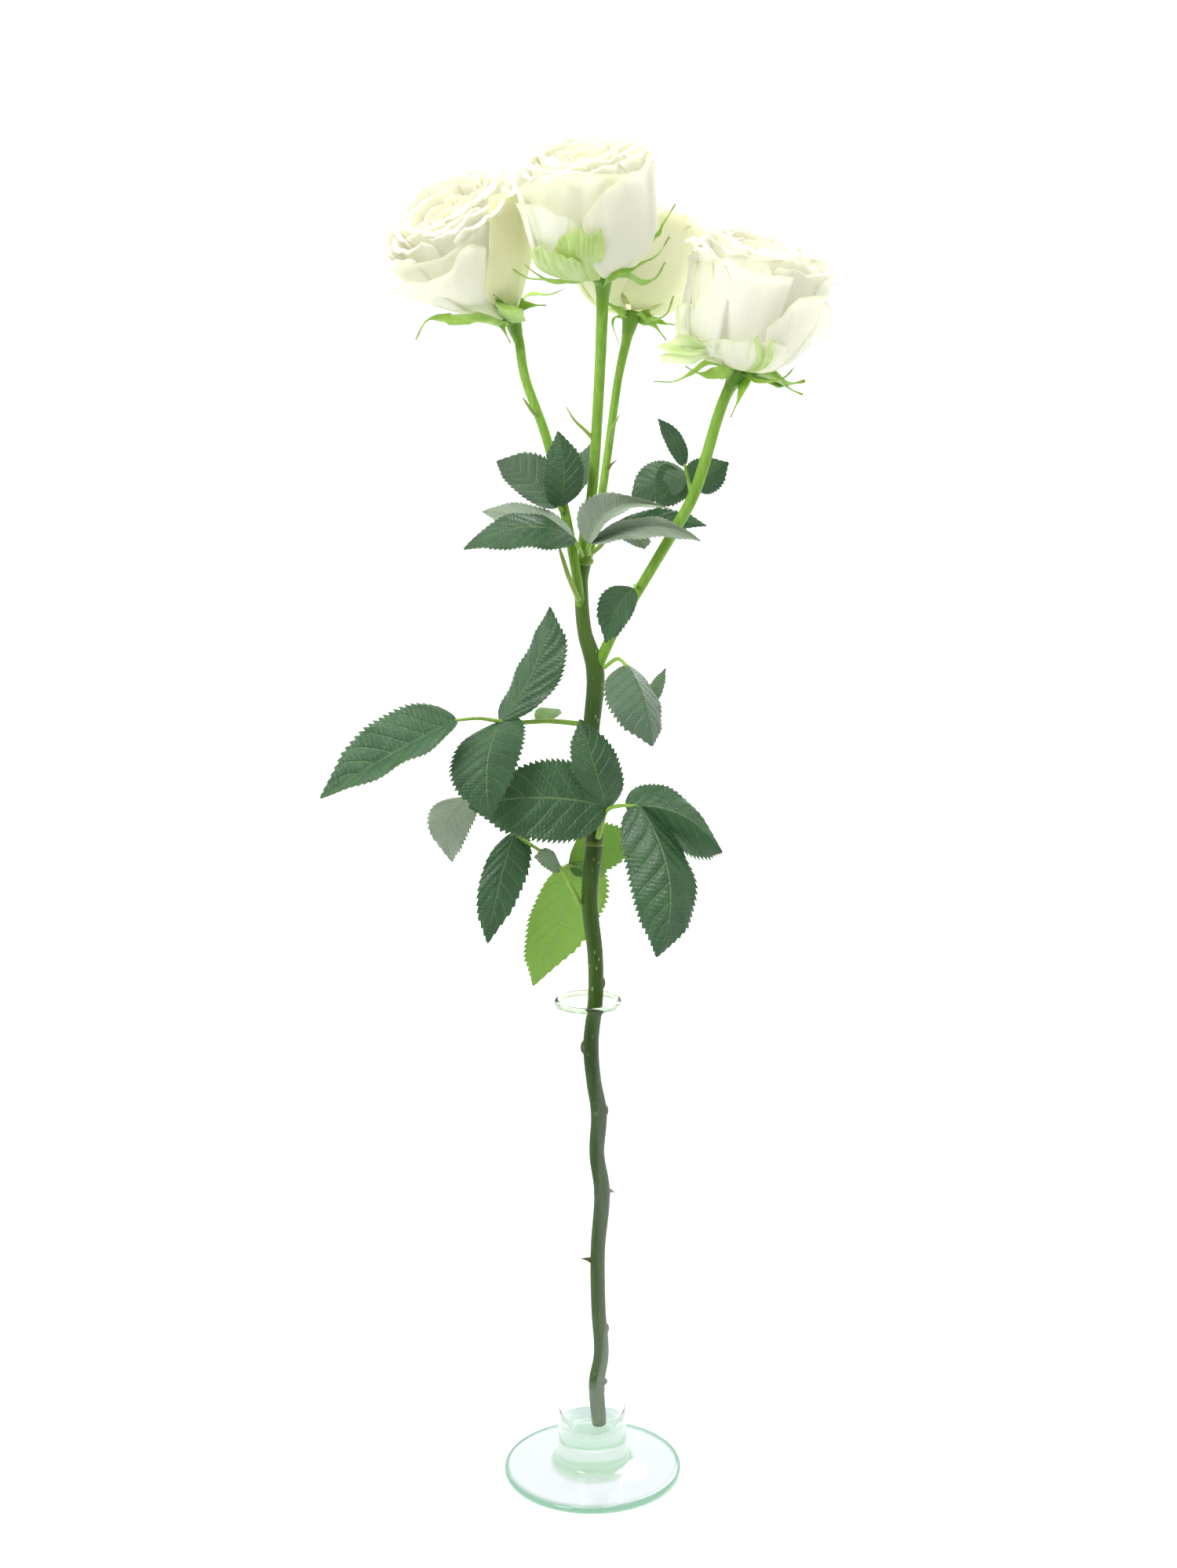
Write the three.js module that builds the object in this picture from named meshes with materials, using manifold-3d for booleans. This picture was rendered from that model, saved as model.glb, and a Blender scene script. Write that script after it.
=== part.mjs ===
// A spray of four white roses on one cane, standing in a clear glass bud vase.
// Millimetres, +Z up. The origin is the centre of the vase foot's underside.
// The viewer stands on the -Y side, so +X is their right.
import * as THREE from 'three';
import { mergeVertices } from 'three/addons/utils/BufferGeometryUtils.js';
import Module from 'manifold-3d';

const wasm = await Module();
wasm.setup();

// Clearance between neighbouring pieces, and the thinnest blade used.
const FIT_GAP = 0.3;
const LEAF_THICKNESS = 0.7;
const PETAL_THICKNESS = 0.8;
const SEPAL_THICKNESS = 0.8;

// Fused bodies lose the facets finer than the first, blooms those finer than
// the second and trimmed sepals those finer than the third. Scraps smaller than
// the last, in cubic millimetres, are left out.
const FACET_TOLERANCE = 0.08;
const PETAL_TOLERANCE = 0.1;
const TRIM_TOLERANCE = 0.06;
const SCRAP_VOLUME = 1;

// The vase: a drawn tube fused to a round foot, with a thick solid bottom. The
// tube narrows quickly up to its waist and then slowly up to the rim.
const VASE_HEIGHT = 200;
const FOOT_RADIUS = 36;
const FOOT_EDGE = 3.2;
const TUBE_RADIUS_LOW = 13.9;
const TUBE_RADIUS_MID = 13.3;
const TUBE_RADIUS_TOP = 12.9;
const TUBE_WALL = 1.4;
const RIM_BEAD = 1.0;
const INNER_FLOOR = 17.5;
const WAIST = 50;
const VASE_SEGMENTS = 28;

// Colours read off the real piece, one per material.
const GLASS = { color: 0xe6efe9, roughness: 0.04, metalness: 0 };
const CANE = { color: 0x5c7f34, roughness: 0.5, metalness: 0 };
const LEAF = { color: 0x3f6a45, roughness: 0.45, metalness: 0 };
const SEPAL = { color: 0x86b04a, roughness: 0.6, metalness: 0 };
const PETAL = { color: 0xf4f4e6, roughness: 0.7, metalness: 0 };

const point = (x, y, z) => new THREE.Vector3(x, y, z);
const along = ([x, y, z]) => new THREE.Vector3(x, y, z);
const smooth = (from, to, value) => THREE.MathUtils.smoothstep(value, from, to);

// Weld a three.js geometry and hand it over as a closed solid.
function solid(geometry) {
  const bare = geometry.clone();
  bare.deleteAttribute('normal');
  bare.deleteAttribute('uv');
  const welded = mergeVertices(bare, 1e-4);
  const index = welded.index.array;
  const kept = [];
  for (let i = 0; i < index.length; i += 3) {
    const [a, b, c] = [index[i], index[i + 1], index[i + 2]];
    if (a !== b && b !== c && c !== a) {
      kept.push(a, b, c);
    }
  }
  const mesh = new wasm.Mesh({
    numProp: 3,
    vertProperties: new Float32Array(welded.attributes.position.array),
    triVerts: new Uint32Array(kept),
  });
  return new wasm.Manifold(mesh);
}

// Fuse solids into one body. A hollow closed on all sides and a scrap smaller
// than the limit are left out. A larger loose piece means that a leaflet or a
// petal misses what it should grow from.
function fuse(solids, tolerance = FACET_TOLERANCE) {
  const whole = solids.reduce((sum, next) => sum.add(next));
  const bodies = whole.decompose();
  const largest = bodies.reduce((best, next) => (next.volume() > best.volume() ? next : best));
  const loose = bodies.filter((body) => body !== largest && body.volume() > SCRAP_VOLUME);
  if (loose.length > 0) {
    throw new Error(`a piece hangs loose near ${loose[0].boundingBox().min.map(Math.round)}`);
  }
  return largest.asOriginal().simplify(tolerance);
}

// Turn a solid back into a named three.js mesh.
function piece(name, body, look) {
  const mesh = body.getMesh();
  const geometry = new THREE.BufferGeometry();
  geometry.setAttribute('position', new THREE.BufferAttribute(new Float32Array(mesh.vertProperties), 3));
  geometry.setIndex(new THREE.BufferAttribute(new Uint32Array(mesh.triVerts), 1));
  geometry.computeVertexNormals();
  const made = new THREE.Mesh(geometry, new THREE.MeshStandardMaterial(look));
  made.name = name;
  return made;
}

// A round limb that follows points and changes thickness from one to the next.
// A straight prism of unit length is made first and then bent onto the curve.
function limb(points, radii, { sides = 6, steps = points.length + 1 } = {}) {
  const outline = new THREE.Shape();
  for (let i = 0; i < sides; i += 1) {
    const turn = (i / sides) * Math.PI * 2;
    if (i === 0) {
      outline.moveTo(Math.cos(turn), Math.sin(turn));
    } else {
      outline.lineTo(Math.cos(turn), Math.sin(turn));
    }
  }
  outline.closePath();
  const prism = new THREE.ExtrudeGeometry(outline, { depth: 1, steps, bevelEnabled: false });
  const curve = new THREE.CatmullRomCurve3(points.map(along));
  const frames = [];
  let normal = null;
  for (let i = 0; i <= steps; i += 1) {
    const tangent = curve.getTangent(i / steps);
    if (normal === null) {
      normal = Math.abs(tangent.x) < 0.8 ? point(1, 0, 0) : point(0, 1, 0);
    }
    normal = normal.clone().addScaledVector(tangent, -normal.dot(tangent)).normalize();
    const side = tangent.clone().cross(normal);
    const place = (i / steps) * (radii.length - 1);
    const low = Math.min(Math.floor(place), radii.length - 2);
    const radius = THREE.MathUtils.lerp(radii[low], radii[low + 1], place - low);
    frames.push({ centre: curve.getPoint(i / steps), normal, side, radius });
  }
  const position = prism.attributes.position;
  for (let i = 0; i < position.count; i += 1) {
    const { centre, normal: across, side, radius } = frames[Math.round(position.getZ(i) * steps)];
    const spot = centre.clone()
      .addScaledVector(across, position.getX(i) * radius)
      .addScaledVector(side, position.getY(i) * radius);
    position.setXYZ(i, spot.x, spot.y, spot.z);
  }
  return solid(prism);
}

// A thin blade about a curved middle surface. Both faces are split into
// triangles alike and joined round the rim.
function blade(middle, across, rows, thickness) {
  const columns = across.length;
  const step = 1e-3;
  const front = [];
  const back = [];
  for (let j = 0; j <= rows; j += 1) {
    for (let i = 0; i < columns; i += 1) {
      const u = across[i];
      const v = j / rows;
      const here = middle(u, v, j);
      const du = middle(Math.min(u + step, 1), v, j).sub(middle(Math.max(u - step, -1), v, j));
      const dv = middle(u, Math.min(v + step, 1), j).sub(middle(u, Math.max(v - step, 0), j));
      const normal = du.cross(dv).normalize().multiplyScalar(thickness / 2);
      front.push(here.clone().add(normal));
      back.push(here.clone().sub(normal));
    }
  }
  const positions = [...front, ...back].flatMap((p) => [p.x, p.y, p.z]);
  const offset = front.length;
  const faces = [];
  const at = (i, j) => j * columns + i;
  for (let j = 0; j < rows; j += 1) {
    for (let i = 0; i < columns - 1; i += 1) {
      const [a, b, c, d] = [at(i, j), at(i + 1, j), at(i + 1, j + 1), at(i, j + 1)];
      faces.push(a, b, c, a, c, d);
      faces.push(offset + a, offset + c, offset + b, offset + a, offset + d, offset + c);
    }
  }
  const rim = [];
  for (let i = 0; i < columns - 1; i += 1) {
    rim.push(at(i, 0));
  }
  for (let j = 0; j < rows; j += 1) {
    rim.push(at(columns - 1, j));
  }
  for (let i = columns - 1; i > 0; i -= 1) {
    rim.push(at(i, rows));
  }
  for (let j = rows; j > 0; j -= 1) {
    rim.push(at(0, j));
  }
  for (let i = 0; i < rim.length; i += 1) {
    const a = rim[i];
    const b = rim[(i + 1) % rim.length];
    faces.push(a, offset + a, offset + b, a, offset + b, b);
  }
  const geometry = new THREE.BufferGeometry();
  geometry.setAttribute('position', new THREE.Float32BufferAttribute(positions, 3));
  geometry.setIndex(faces);
  return solid(geometry);
}

// A rose leaflet. Its midrib runs from base over mid to tip. The vectors left
// and right reach from the midrib to the two edges where the blade is widest,
// so they also say how the halves are folded. The edge is cut into teeth that
// point to the tip. The outline swells quickly from the base and narrows slowly
// to the tip, and its peak is what the swell and the narrowing make at the
// widest place.
const OUTLINE_SWELL = 0.5;
const OUTLINE_NARROW = 0.75;
const OUTLINE_PEAK = 0.455;
const OUTLINE_LEAST = 0.05;
const TOOTH_SPREAD = 0.045;
const TOOTH_LEAN = 0.3;
function leaflet({ base, mid, tip, left, right, teeth = 5 }) {
  const [start, middle, end] = [along(base), along(mid), along(tip)];
  const control = middle.clone().multiplyScalar(2).addScaledVector(start.clone().add(end), -0.5);
  const midrib = new THREE.QuadraticBezierCurve3(start, control, end);
  const rows = teeth * 2;
  const halves = [along(left), along(right)];
  const surface = (u, v, row) => {
    const tooth = row % 2 === 1 ? 1 : -1;
    const edge = Math.abs(u) > 0.9 && row > 0 && row < rows;
    const spot = midrib.getPoint(v);
    const tangent = midrib.getTangent(v);
    const half = halves[u < 0 ? 0 : 1];
    const outline = (v ** OUTLINE_SWELL * (1 - v) ** OUTLINE_NARROW) / OUTLINE_PEAK;
    const width = Math.max(outline, OUTLINE_LEAST) * (edge ? 1 + tooth * TOOTH_SPREAD : 1);
    spot.addScaledVector(half, Math.abs(u) * width);
    if (edge) {
      spot.addScaledVector(tangent, (tooth * TOOTH_LEAN * start.distanceTo(end)) / rows);
    }
    return spot;
  };
  return blade(surface, [-1, 0, 1], rows, LEAF_THICKNESS);
}

// A leaf stalk, thin and slightly thicker where it joins the cane.
const stalk = (points, base = 1.0, end = 0.6) => {
  const radii = points.map((_, i) => THREE.MathUtils.lerp(base, end, i / (points.length - 1)));
  return limb(points, radii, { sides: 4, steps: points.length });
};

// A straight pointed cone from one point to another, for thorns.
function thorn(from, to, radius) {
  const [start, end] = [along(from), along(to)];
  const cone = new THREE.ConeGeometry(radius, start.distanceTo(end), 5, 1);
  const direction = end.clone().sub(start).normalize();
  cone.applyQuaternion(new THREE.Quaternion().setFromUnitVectors(point(0, 1, 0), direction));
  const centre = start.clone().lerp(end, 0.5);
  cone.translate(centre.x, centre.y, centre.z);
  return solid(cone);
}

// A rounded bump on the cane: a resting bud or a healed scar.
function bump([x, y, z], radius, height) {
  const ball = new THREE.SphereGeometry(radius, 6, 4);
  ball.scale(1, 1, height / radius);
  ball.translate(x, y, z);
  return solid(ball);
}

// The vase is one turned profile: foot, tube, beaded rim, bore and round floor.
function vase() {
  const boreLow = TUBE_RADIUS_LOW - TUBE_WALL;
  const rimHeight = VASE_HEIGHT - RIM_BEAD;
  const rimCentre = TUBE_RADIUS_TOP - TUBE_WALL / 2;
  const profile = [
    [0, 0],
    [FOOT_RADIUS - 1.2, 0],
    [FOOT_RADIUS - 0.2, 0.6],
    [FOOT_RADIUS, 1.6],
    [FOOT_RADIUS - 0.4, 2.8],
    [FOOT_RADIUS - 1.4, FOOT_EDGE],
    [26, 4.0],
    [18.5, 5.2],
    [15.2, 6.6],
    [TUBE_RADIUS_LOW, 9.0],
    [TUBE_RADIUS_MID, WAIST],
    [TUBE_RADIUS_TOP, rimHeight - 2.0],
    [rimCentre + RIM_BEAD, rimHeight - 0.4],
    [rimCentre + RIM_BEAD * 0.6, VASE_HEIGHT - 0.2],
    [rimCentre, VASE_HEIGHT],
    [rimCentre - RIM_BEAD * 0.6, VASE_HEIGHT - 0.2],
    [rimCentre - RIM_BEAD, rimHeight - 0.4],
    [TUBE_RADIUS_TOP - TUBE_WALL, rimHeight - 2.0],
    [TUBE_RADIUS_MID - TUBE_WALL, WAIST],
    [boreLow - 0.3, INNER_FLOOR + 8.5],
    [boreLow - 1.5, INNER_FLOOR + 3.2],
    [boreLow - 3.9, INNER_FLOOR + 0.8],
    [boreLow - 5, INNER_FLOOR],
    [0, INNER_FLOOR],
  ];
  const points = profile.map(([radius, height]) => new THREE.Vector2(radius, height));
  const turned = new THREE.LatheGeometry(points, VASE_SEGMENTS);
  turned.rotateX(Math.PI / 2);
  return solid(turned);
}

// Each bloom stands on its hip, at the top of a flower stalk, and opens along
// its own axis. Lean is the way the stalk comes up to it, reach the radius over
// the widest petals, belly how round the cup is below (1 for a bowl, 0 for a
// funnel and less for a trumpet), heart how high the middle stands against the
// whole height, outer the turns of the outermost petals of the cup, and rings
// how many rings of smaller petals follow.
const BLOOMS = {
  left: {
    hip: [-27, 20, 461], axis: [-0.44, -0.42, 0.79], lean: [-0.28, 0.14, 0.95],
    reach: 26.5, height: 54, belly: -0.4, spin: 20, heart: 0.85,
    outer: [0, 48, 96, 140, 178], rings: 2,
  },
  top: {
    hip: [7.5, -12, 474.5], axis: [-0.15, -0.35, 0.92], lean: [0.03, -0.23, 0.97],
    reach: 23.2, height: 47, belly: 1, spin: 75, heart: 0.93,
    outer: [18, 65, 112, 158], rings: 2,
  },
  right: {
    hip: [57.5, 2, 441], axis: [0.24, -0.2, 0.95], lean: [0.45, -0.04, 0.89],
    reach: 25.3, height: 47, belly: 1, spin: 52, heart: 0.94,
    outer: [18, 65, 112, 158], rings: 2,
  },
  back: {
    hip: [19, 38, 461.5], axis: [0.12, 0.28, 0.95], lean: [0.2, 0.28, 0.94],
    reach: 23, height: 39, belly: 1, spin: 0, heart: 0.9,
    outer: [0, 72, 144, 216, 288], rings: 1,
  },
};
const HIP_TOP = 3.8;
const HIP_FOOT = 2.3;
const HIP_NECK = 3;
const HIP_TAPER = 5;
const STALK_STRAIGHT = 3;

// The curve of a hip, from its foot up to the seat of the petals.
function hipLine({ hip, axis, lean }) {
  const neck = along(hip).addScaledVector(along(axis).normalize(), -HIP_NECK);
  const foot = neck.clone().addScaledVector(along(lean).normalize(), -HIP_TAPER);
  return [foot.toArray(), neck.toArray(), hip];
}

// The last two points of a flower stalk, which ends a fitting gap below its hip.
function stalkEnd(bloom) {
  const foot = along(hipLine(bloom)[0]);
  const down = along(bloom.lean).normalize().negate();
  const end = foot.clone().addScaledVector(down, FIT_GAP + 0.1);
  return [end.clone().addScaledVector(down, STALK_STRAIGHT).toArray(), end.toArray()];
}

// The cane from its cut end on the vase floor up to the top joint, swollen at
// each joint, with the four flower stalks, thorns, buds and small bracts.
const CANE_LINE = [
  [3, 2, 18.0], [2, 2, 37], [4, 2, 50], [3, 3, 70], [3, 4, 94], [5, 5, 118], [3, 6, 134],
  [4, 6, 151], [2, 7, 164], [1, 7, 179], [3, 7.2, 199], [3, 8.5, 215], [1, 10, 238], [3, 11, 261],
  [2, 12, 300], [4, 13, 327], [0, 13, 343], [-1, 13, 362], [0, 13, 370],
];
const CANE_RADII = [
  3.0, 3.3, 3.1, 3.0, 3.0, 3.4, 3.1, 3.4, 3.1, 3.2, 3.0, 3.1, 3.2, 3.5, 3.2, 3.6, 2.8, 2.6, 3.2,
];
const STALK_LEFT = [
  [-1, 13, 350], [-3, 8, 366], [-7, 6, 389], [-13.5, 9, 416], [-21.5, 15, 439],
  ...stalkEnd(BLOOMS.left),
];
const STALK_TOP = [
  [0, 13, 366], [0, 12, 377], [3, 7, 393], [6.5, -3, 439],
  ...stalkEnd(BLOOMS.top),
];
const STALK_BACK = [
  [1, 14, 366], [4, 18, 380], [7, 22, 393], [14, 31, 438],
  ...stalkEnd(BLOOMS.back),
];
const STALK_RIGHT = [
  [4, 13, 327], [12, 11, 344], [21, 9, 359], [34, 6, 381], [41.5, 4, 395], [50.5, 3, 424],
  ...stalkEnd(BLOOMS.right),
];

function stem() {
  return fuse([
    limb(CANE_LINE, CANE_RADII, { sides: 9, steps: 25 }),
    limb(STALK_LEFT, [1.8, 1.9, 1.9, 1.8, 1.8, 1.9, 2.2]),
    limb(STALK_TOP, [1.8, 2.0, 2.0, 2.0, 2.2, 2.3]),
    limb(STALK_BACK, [1.4, 1.6, 1.6, 1.6, 1.9, 2.2]),
    limb(STALK_RIGHT, [2.2, 2.1, 2.0, 2.1, 2.2, 2.1, 2.1, 2.3]),
    thorn([1, 3.5, 90], [-4, 2, 91], 1.4),
    thorn([6, 5, 119], [10.5, 4, 118], 1.4),
    thorn([9, 24, 403], [13, 20, 407], 0.9),
    bump([5.6, 2, 61], 1.9, 2.6),
    bump([6.2, 6, 152], 1.9, 2.8),
    bump([-1.4, 7, 178], 2.0, 3.2),
    bump([5, 8, 204], 2.1, 3.0),
    bump([3, 11, 260], 4.0, 2.4),
    bump([0, 13, 369.5], 3.9, 2.6),
    limb([[-15.6, 11, 423], [-18.5, 8, 426], [-22, 4, 431]], [1.1, 1.0, 0.3], { sides: 4, steps: 2 }),
    limb(
      [[4.8, 2, 415], [1, 0, 419], [-3, -2, 423], [-6, -4, 428]],
      [0.9, 0.8, 0.6, 0.3],
      { sides: 4, steps: 3 },
    ),
    limb([[10.2, 26, 412], [11, 22, 418], [14, 18, 424]], [0.9, 0.8, 0.3], { sides: 4, steps: 2 }),
    limb(
      [[-2, 9, 355], [-5.5, 3, 364], [-8, 1, 372], [-9.5, 1, 377]],
      [1.1, 1.0, 0.9, 0.4],
      { sides: 4, steps: 3 },
    ),
    limb([[1, 13, 371], [6, 10, 375], [10, 8, 379]], [1.1, 1.0, 0.4], { sides: 4, steps: 2 }),
  ]);
}

// The lowest left leaf: a long stalk that rises behind the others, with two
// leaflets behind the cane, a pale one at the far end and two below.
function leafLowLeft() {
  return fuse([
    stalk([
      [-2.8, 9, 236], [-6.5, 7, 244], [-10, 6, 251], [-18, 10, 257],
      [-28, 14, 263], [-38, 18, 270], [-46, 22, 275],
    ]),
    stalk([[-10, 6.5, 250], [-7, 14, 250], [-4, 17, 249]], 0.8),
    leaflet({
      base: [-28, 14, 264], mid: [-34, 8, 245], tip: [-39, 6, 221],
      left: [-9, 0, -2], right: [11, 2, 1],
    }),
    leaflet({
      base: [-10, 6.5, 251], mid: [-14, 1, 256], tip: [-20, -4, 258],
      left: [-1, 2, 4], right: [-1, 1, -5], teeth: 3,
    }),
    leaflet({
      base: [-5, 16, 251], mid: [-11, 24, 224], tip: [-22, 28, 197],
      left: [-14, -2, -1], right: [18, 2, 4],
    }),
    leaflet({
      base: [-7, 16, 251], mid: [5, 24, 254], tip: [21, 30, 254],
      left: [1, 4, 11], right: [0, -2, -10], teeth: 4,
    }),
    leaflet({
      base: [-45, 22, 276], mid: [-54, 19, 267], tip: [-53, 18, 251],
      left: [-9, 1, 2], right: [8, -3, -5],
    }),
  ]);
}

// The lowest right leaf: a short stalk in front of the cane with one big
// leaflet to the left, one upright, one to the right and one hanging.
function leafLowRight() {
  return fuse([
    stalk([[4.5, 6.6, 263], [6, 4, 269], [8, 1, 275], [14, -5, 278], [20, -9, 278.5]], 1.2),
    leaflet({
      base: [8, 1, 276], mid: [-17, -3, 281], tip: [-45, 0, 277],
      left: [2, 4, 15], right: [-2, -5, -17], teeth: 7,
    }),
    leaflet({
      base: [8, 0, 276], mid: [3, -5, 294], tip: [-2, -2, 311],
      left: [-9, 2, -1], right: [10, 4, 2],
    }),
    leaflet({
      base: [15, -6, 278], mid: [35, -14, 277], tip: [51, -20, 263],
      left: [-2, 7, 8], right: [4, 5, -19],
    }),
    leaflet({
      base: [20, -9, 279], mid: [31, -24, 252], tip: [26, -26, 224],
      left: [-16, 4, -1], right: [11, 6, -5], teeth: 7,
    }),
  ]);
}

// The middle left leaf: a level stalk with a long end leaflet, an upright
// one, a round one hanging in front and a small one behind.
function leafMiddleLeft() {
  return fuse([
    stalk([
      [-0.9, 10.3, 307], [-14, 6, 309], [-26, 3, 309],
      [-32, 0, 310], [-40, -4, 312], [-49, -8, 312],
    ], 1.1),
    leaflet({
      base: [-48, -8, 312], mid: [-72, -17, 301], tip: [-98, -30, 287],
      left: [-8, 7, 12], right: [3, -14, -3], teeth: 7,
    }),
    leaflet({
      base: [-32, 0, 310], mid: [-19, 2, 330], tip: [-13, 6, 353],
      left: [-6, 10, 1], right: [12, -4, 0], teeth: 7,
    }),
    leaflet({
      base: [-32, 0, 310], mid: [-37, -13, 296], tip: [-36, -16, 276],
      left: [-15, 0, -3], right: [14, 5, 5],
    }),
    leaflet({
      base: [-16, 5.5, 309], mid: [-15, 16, 311], tip: [-18, 25, 311],
      left: [-5, 0, -1], right: [6, 2, 0], teeth: 3,
    }),
  ]);
}

// The middle right leaf hangs from the fork on a curved stalk.
function leafMiddleRight() {
  return fuse([
    stalk([
      [7.6, 10.2, 329], [12, 4, 333], [14, -1, 333],
      [16, -5, 331], [21, 0, 322], [26, 4, 317],
    ], 0.9),
    leaflet({
      base: [16, -4, 332], mid: [22, -15, 320], tip: [25, -17, 303],
      left: [-14, -2, -3], right: [7, 11, -5],
    }),
    leaflet({
      base: [25, 3, 317], mid: [27, 8, 322], tip: [31, 12, 328],
      left: [-3, 2, -1], right: [3, -1, -2], teeth: 3,
    }),
  ]);
}

// A single small leaf on the right flower stalk.
function leafSmallRight() {
  return fuse([
    stalk([[19.4, 7.2, 360.5], [19.5, 4, 361], [19, 1, 360]], 0.8),
    leaflet({
      base: [19, 1.5, 360], mid: [12, -4, 353], tip: [8, -8, 341],
      left: [-7, -1, 4], right: [4, -2, -6],
    }),
  ]);
}

// Two leaflets that reach left from the top joint, in front of the left stalk.
function leafTopLeft() {
  return fuse([
    stalk([[-0.5, 8.4, 372], [-2, 2, 376], [-4, -1, 380]], 1.0),
    leaflet({
      base: [-3, -1, 379], mid: [-22, -8, 384], tip: [-44, -16, 377],
      left: [-3, 10, 5], right: [0, -13, -7], teeth: 7,
    }),
    leaflet({
      base: [-4, -1, 380], mid: [-22, 3, 387], tip: [-38, 6, 389],
      left: [2, 3, 5], right: [-1, -2, -6], teeth: 4,
    }),
  ]);
}

// Three leaflets from the joint on the left flower stalk.
function leafTopCentre() {
  return fuse([
    stalk([[-8, 3.5, 389], [-8.8, 1.5, 391], [-9, 1.5, 393]], 0.9, 0.7),
    stalk([[-9, 2, 392], [-11.5, 8, 393], [-8, 14, 393]], 0.7),
    leaflet({
      base: [-9, 2, 391], mid: [-21, 2, 402], tip: [-32, 0, 408],
      left: [7, 1, 8], right: [-5, -1, -5],
    }),
    leaflet({
      base: [-8.8, 1, 391], mid: [-7, -5, 404], tip: [-9, -4, 419],
      left: [-8, 2, 0], right: [8, 2, 1],
    }),
    leaflet({
      base: [-8, 14, 392.5], mid: [-1, 19, 403], tip: [3, 22, 413],
      left: [-5, 0, 1], right: [5, 1, -1], teeth: 4,
    }),
  ]);
}

// Four leaflets that reach right from the top joint, seen from below.
function leafTopRight() {
  return fuse([
    stalk([[1.8, 8.8, 372.5], [2, 4, 376], [4, 1, 379]], 1.1, 0.8),
    stalk([[3, 2, 378], [9, 5, 381], [14, 9, 381]], 0.7),
    leaflet({
      base: [2, 2, 377], mid: [13, -3, 391], tip: [33, -8, 390],
      left: [-9, -3, 5], right: [2, -11, -1],
    }),
    leaflet({
      base: [3, 1, 378], mid: [24, -6, 384], tip: [43, -14, 379],
      left: [0, -5, 4], right: [-1, -7, -4],
    }),
    leaflet({
      base: [9, 4, 381], mid: [29, 15, 384], tip: [47, 17, 382],
      left: [1, 3, 5], right: [0, 0, -4], teeth: 4,
    }),
    leaflet({
      base: [13, 8, 381], mid: [20, 12, 378], tip: [23, 12, 374],
      left: [-3, 0, -2], right: [5, 2, 0], teeth: 3,
    }),
  ]);
}

// The leaf on the right flower stalk: a narrow upright leaflet in front and
// three broad glossy ones behind.
function leafSideSpray() {
  return fuse([
    stalk([[40.4, 7.2, 396], [39.5, 8.5, 400], [38, 6, 406]], 0.9, 0.6),
    leaflet({
      base: [38.2, 6.3, 405.4], mid: [34, 3, 415], tip: [28, 0, 423],
      left: [-3, 1, -2], right: [3, 1, 2], teeth: 4,
    }),
    leaflet({
      base: [39.5, 8.4, 400.3], mid: [34, 12, 398], tip: [28, 12, 389],
      left: [-6, 1, 7], right: [5, 2, -6],
    }),
    leaflet({
      base: [39.1, 7.8, 401.7], mid: [27, 14, 399], tip: [18, 15, 392],
      left: [-3, 2, 7], right: [2, 1, -8],
    }),
    leaflet({
      base: [39.7, 8.2, 399.2], mid: [47, 13, 402], tip: [55, 14, 406],
      left: [-4, 2, 6], right: [4, 1, -7],
    }),
  ]);
}

// The petals of the cup. The outermost ones stand where the bloom says, and
// rings of smaller ones follow from the outside in: how many there are, how far
// out they reach, how far their lips have gone from the level of the rim to
// that of the heart and how much they stand above it, half the angle each
// covers, how far the lip rolls out, and how high on the heart they grow. Each
// ring is twisted against the one outside it.
const RIM_LEVEL = 0.86;
const OUTER_RING = { radius: 1, inward: 0, crown: 0, cover: 52, lip: 3.4, start: 0 };
const RINGS = [
  { count: 5, radius: 0.85, inward: 0.25, crown: 0.06, cover: 47, lip: 2, start: 0.05 },
  { count: 4, radius: 0.66, inward: 0.6, crown: 0.08, cover: 54, lip: 0.8, start: 0.2 },
];
const RING_TWIST = 33;
const PETAL_COLUMNS = [-1, -1 / 3, 1 / 3, 1];
const PETAL_ROWS = 2;
const PETAL_TUCK = 1.3;
const PETAL_WAVE = 1.1;
const WAVE_SHIFT = 1.7;

// The claw of a petal and its belly: their share of the petal's width, how far
// out they stand, and how high.
const CLAW = { share: 0.6, reach: 3.2, height: 0.9 };
const BELLY = { share: 0.8, reach: 0.68, funnel: 0.5, bowl: 0.27 };
const LAID_ROWS = 4;

// How far out a petal of the cup stands between its claw and its lip, and at
// what share of its height, each for a funnel and for a bowl.
const CLAW_RADIUS = 0.16;
const CUP_LEVELS = [
  { radius: [0.48, 0.66], level: [0.18, 0.12] },
  { radius: [0.8, 0.95], level: [0.4, 0.36] },
  { radius: [0.96, 1], level: [0.7, 0.68] },
];

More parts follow.
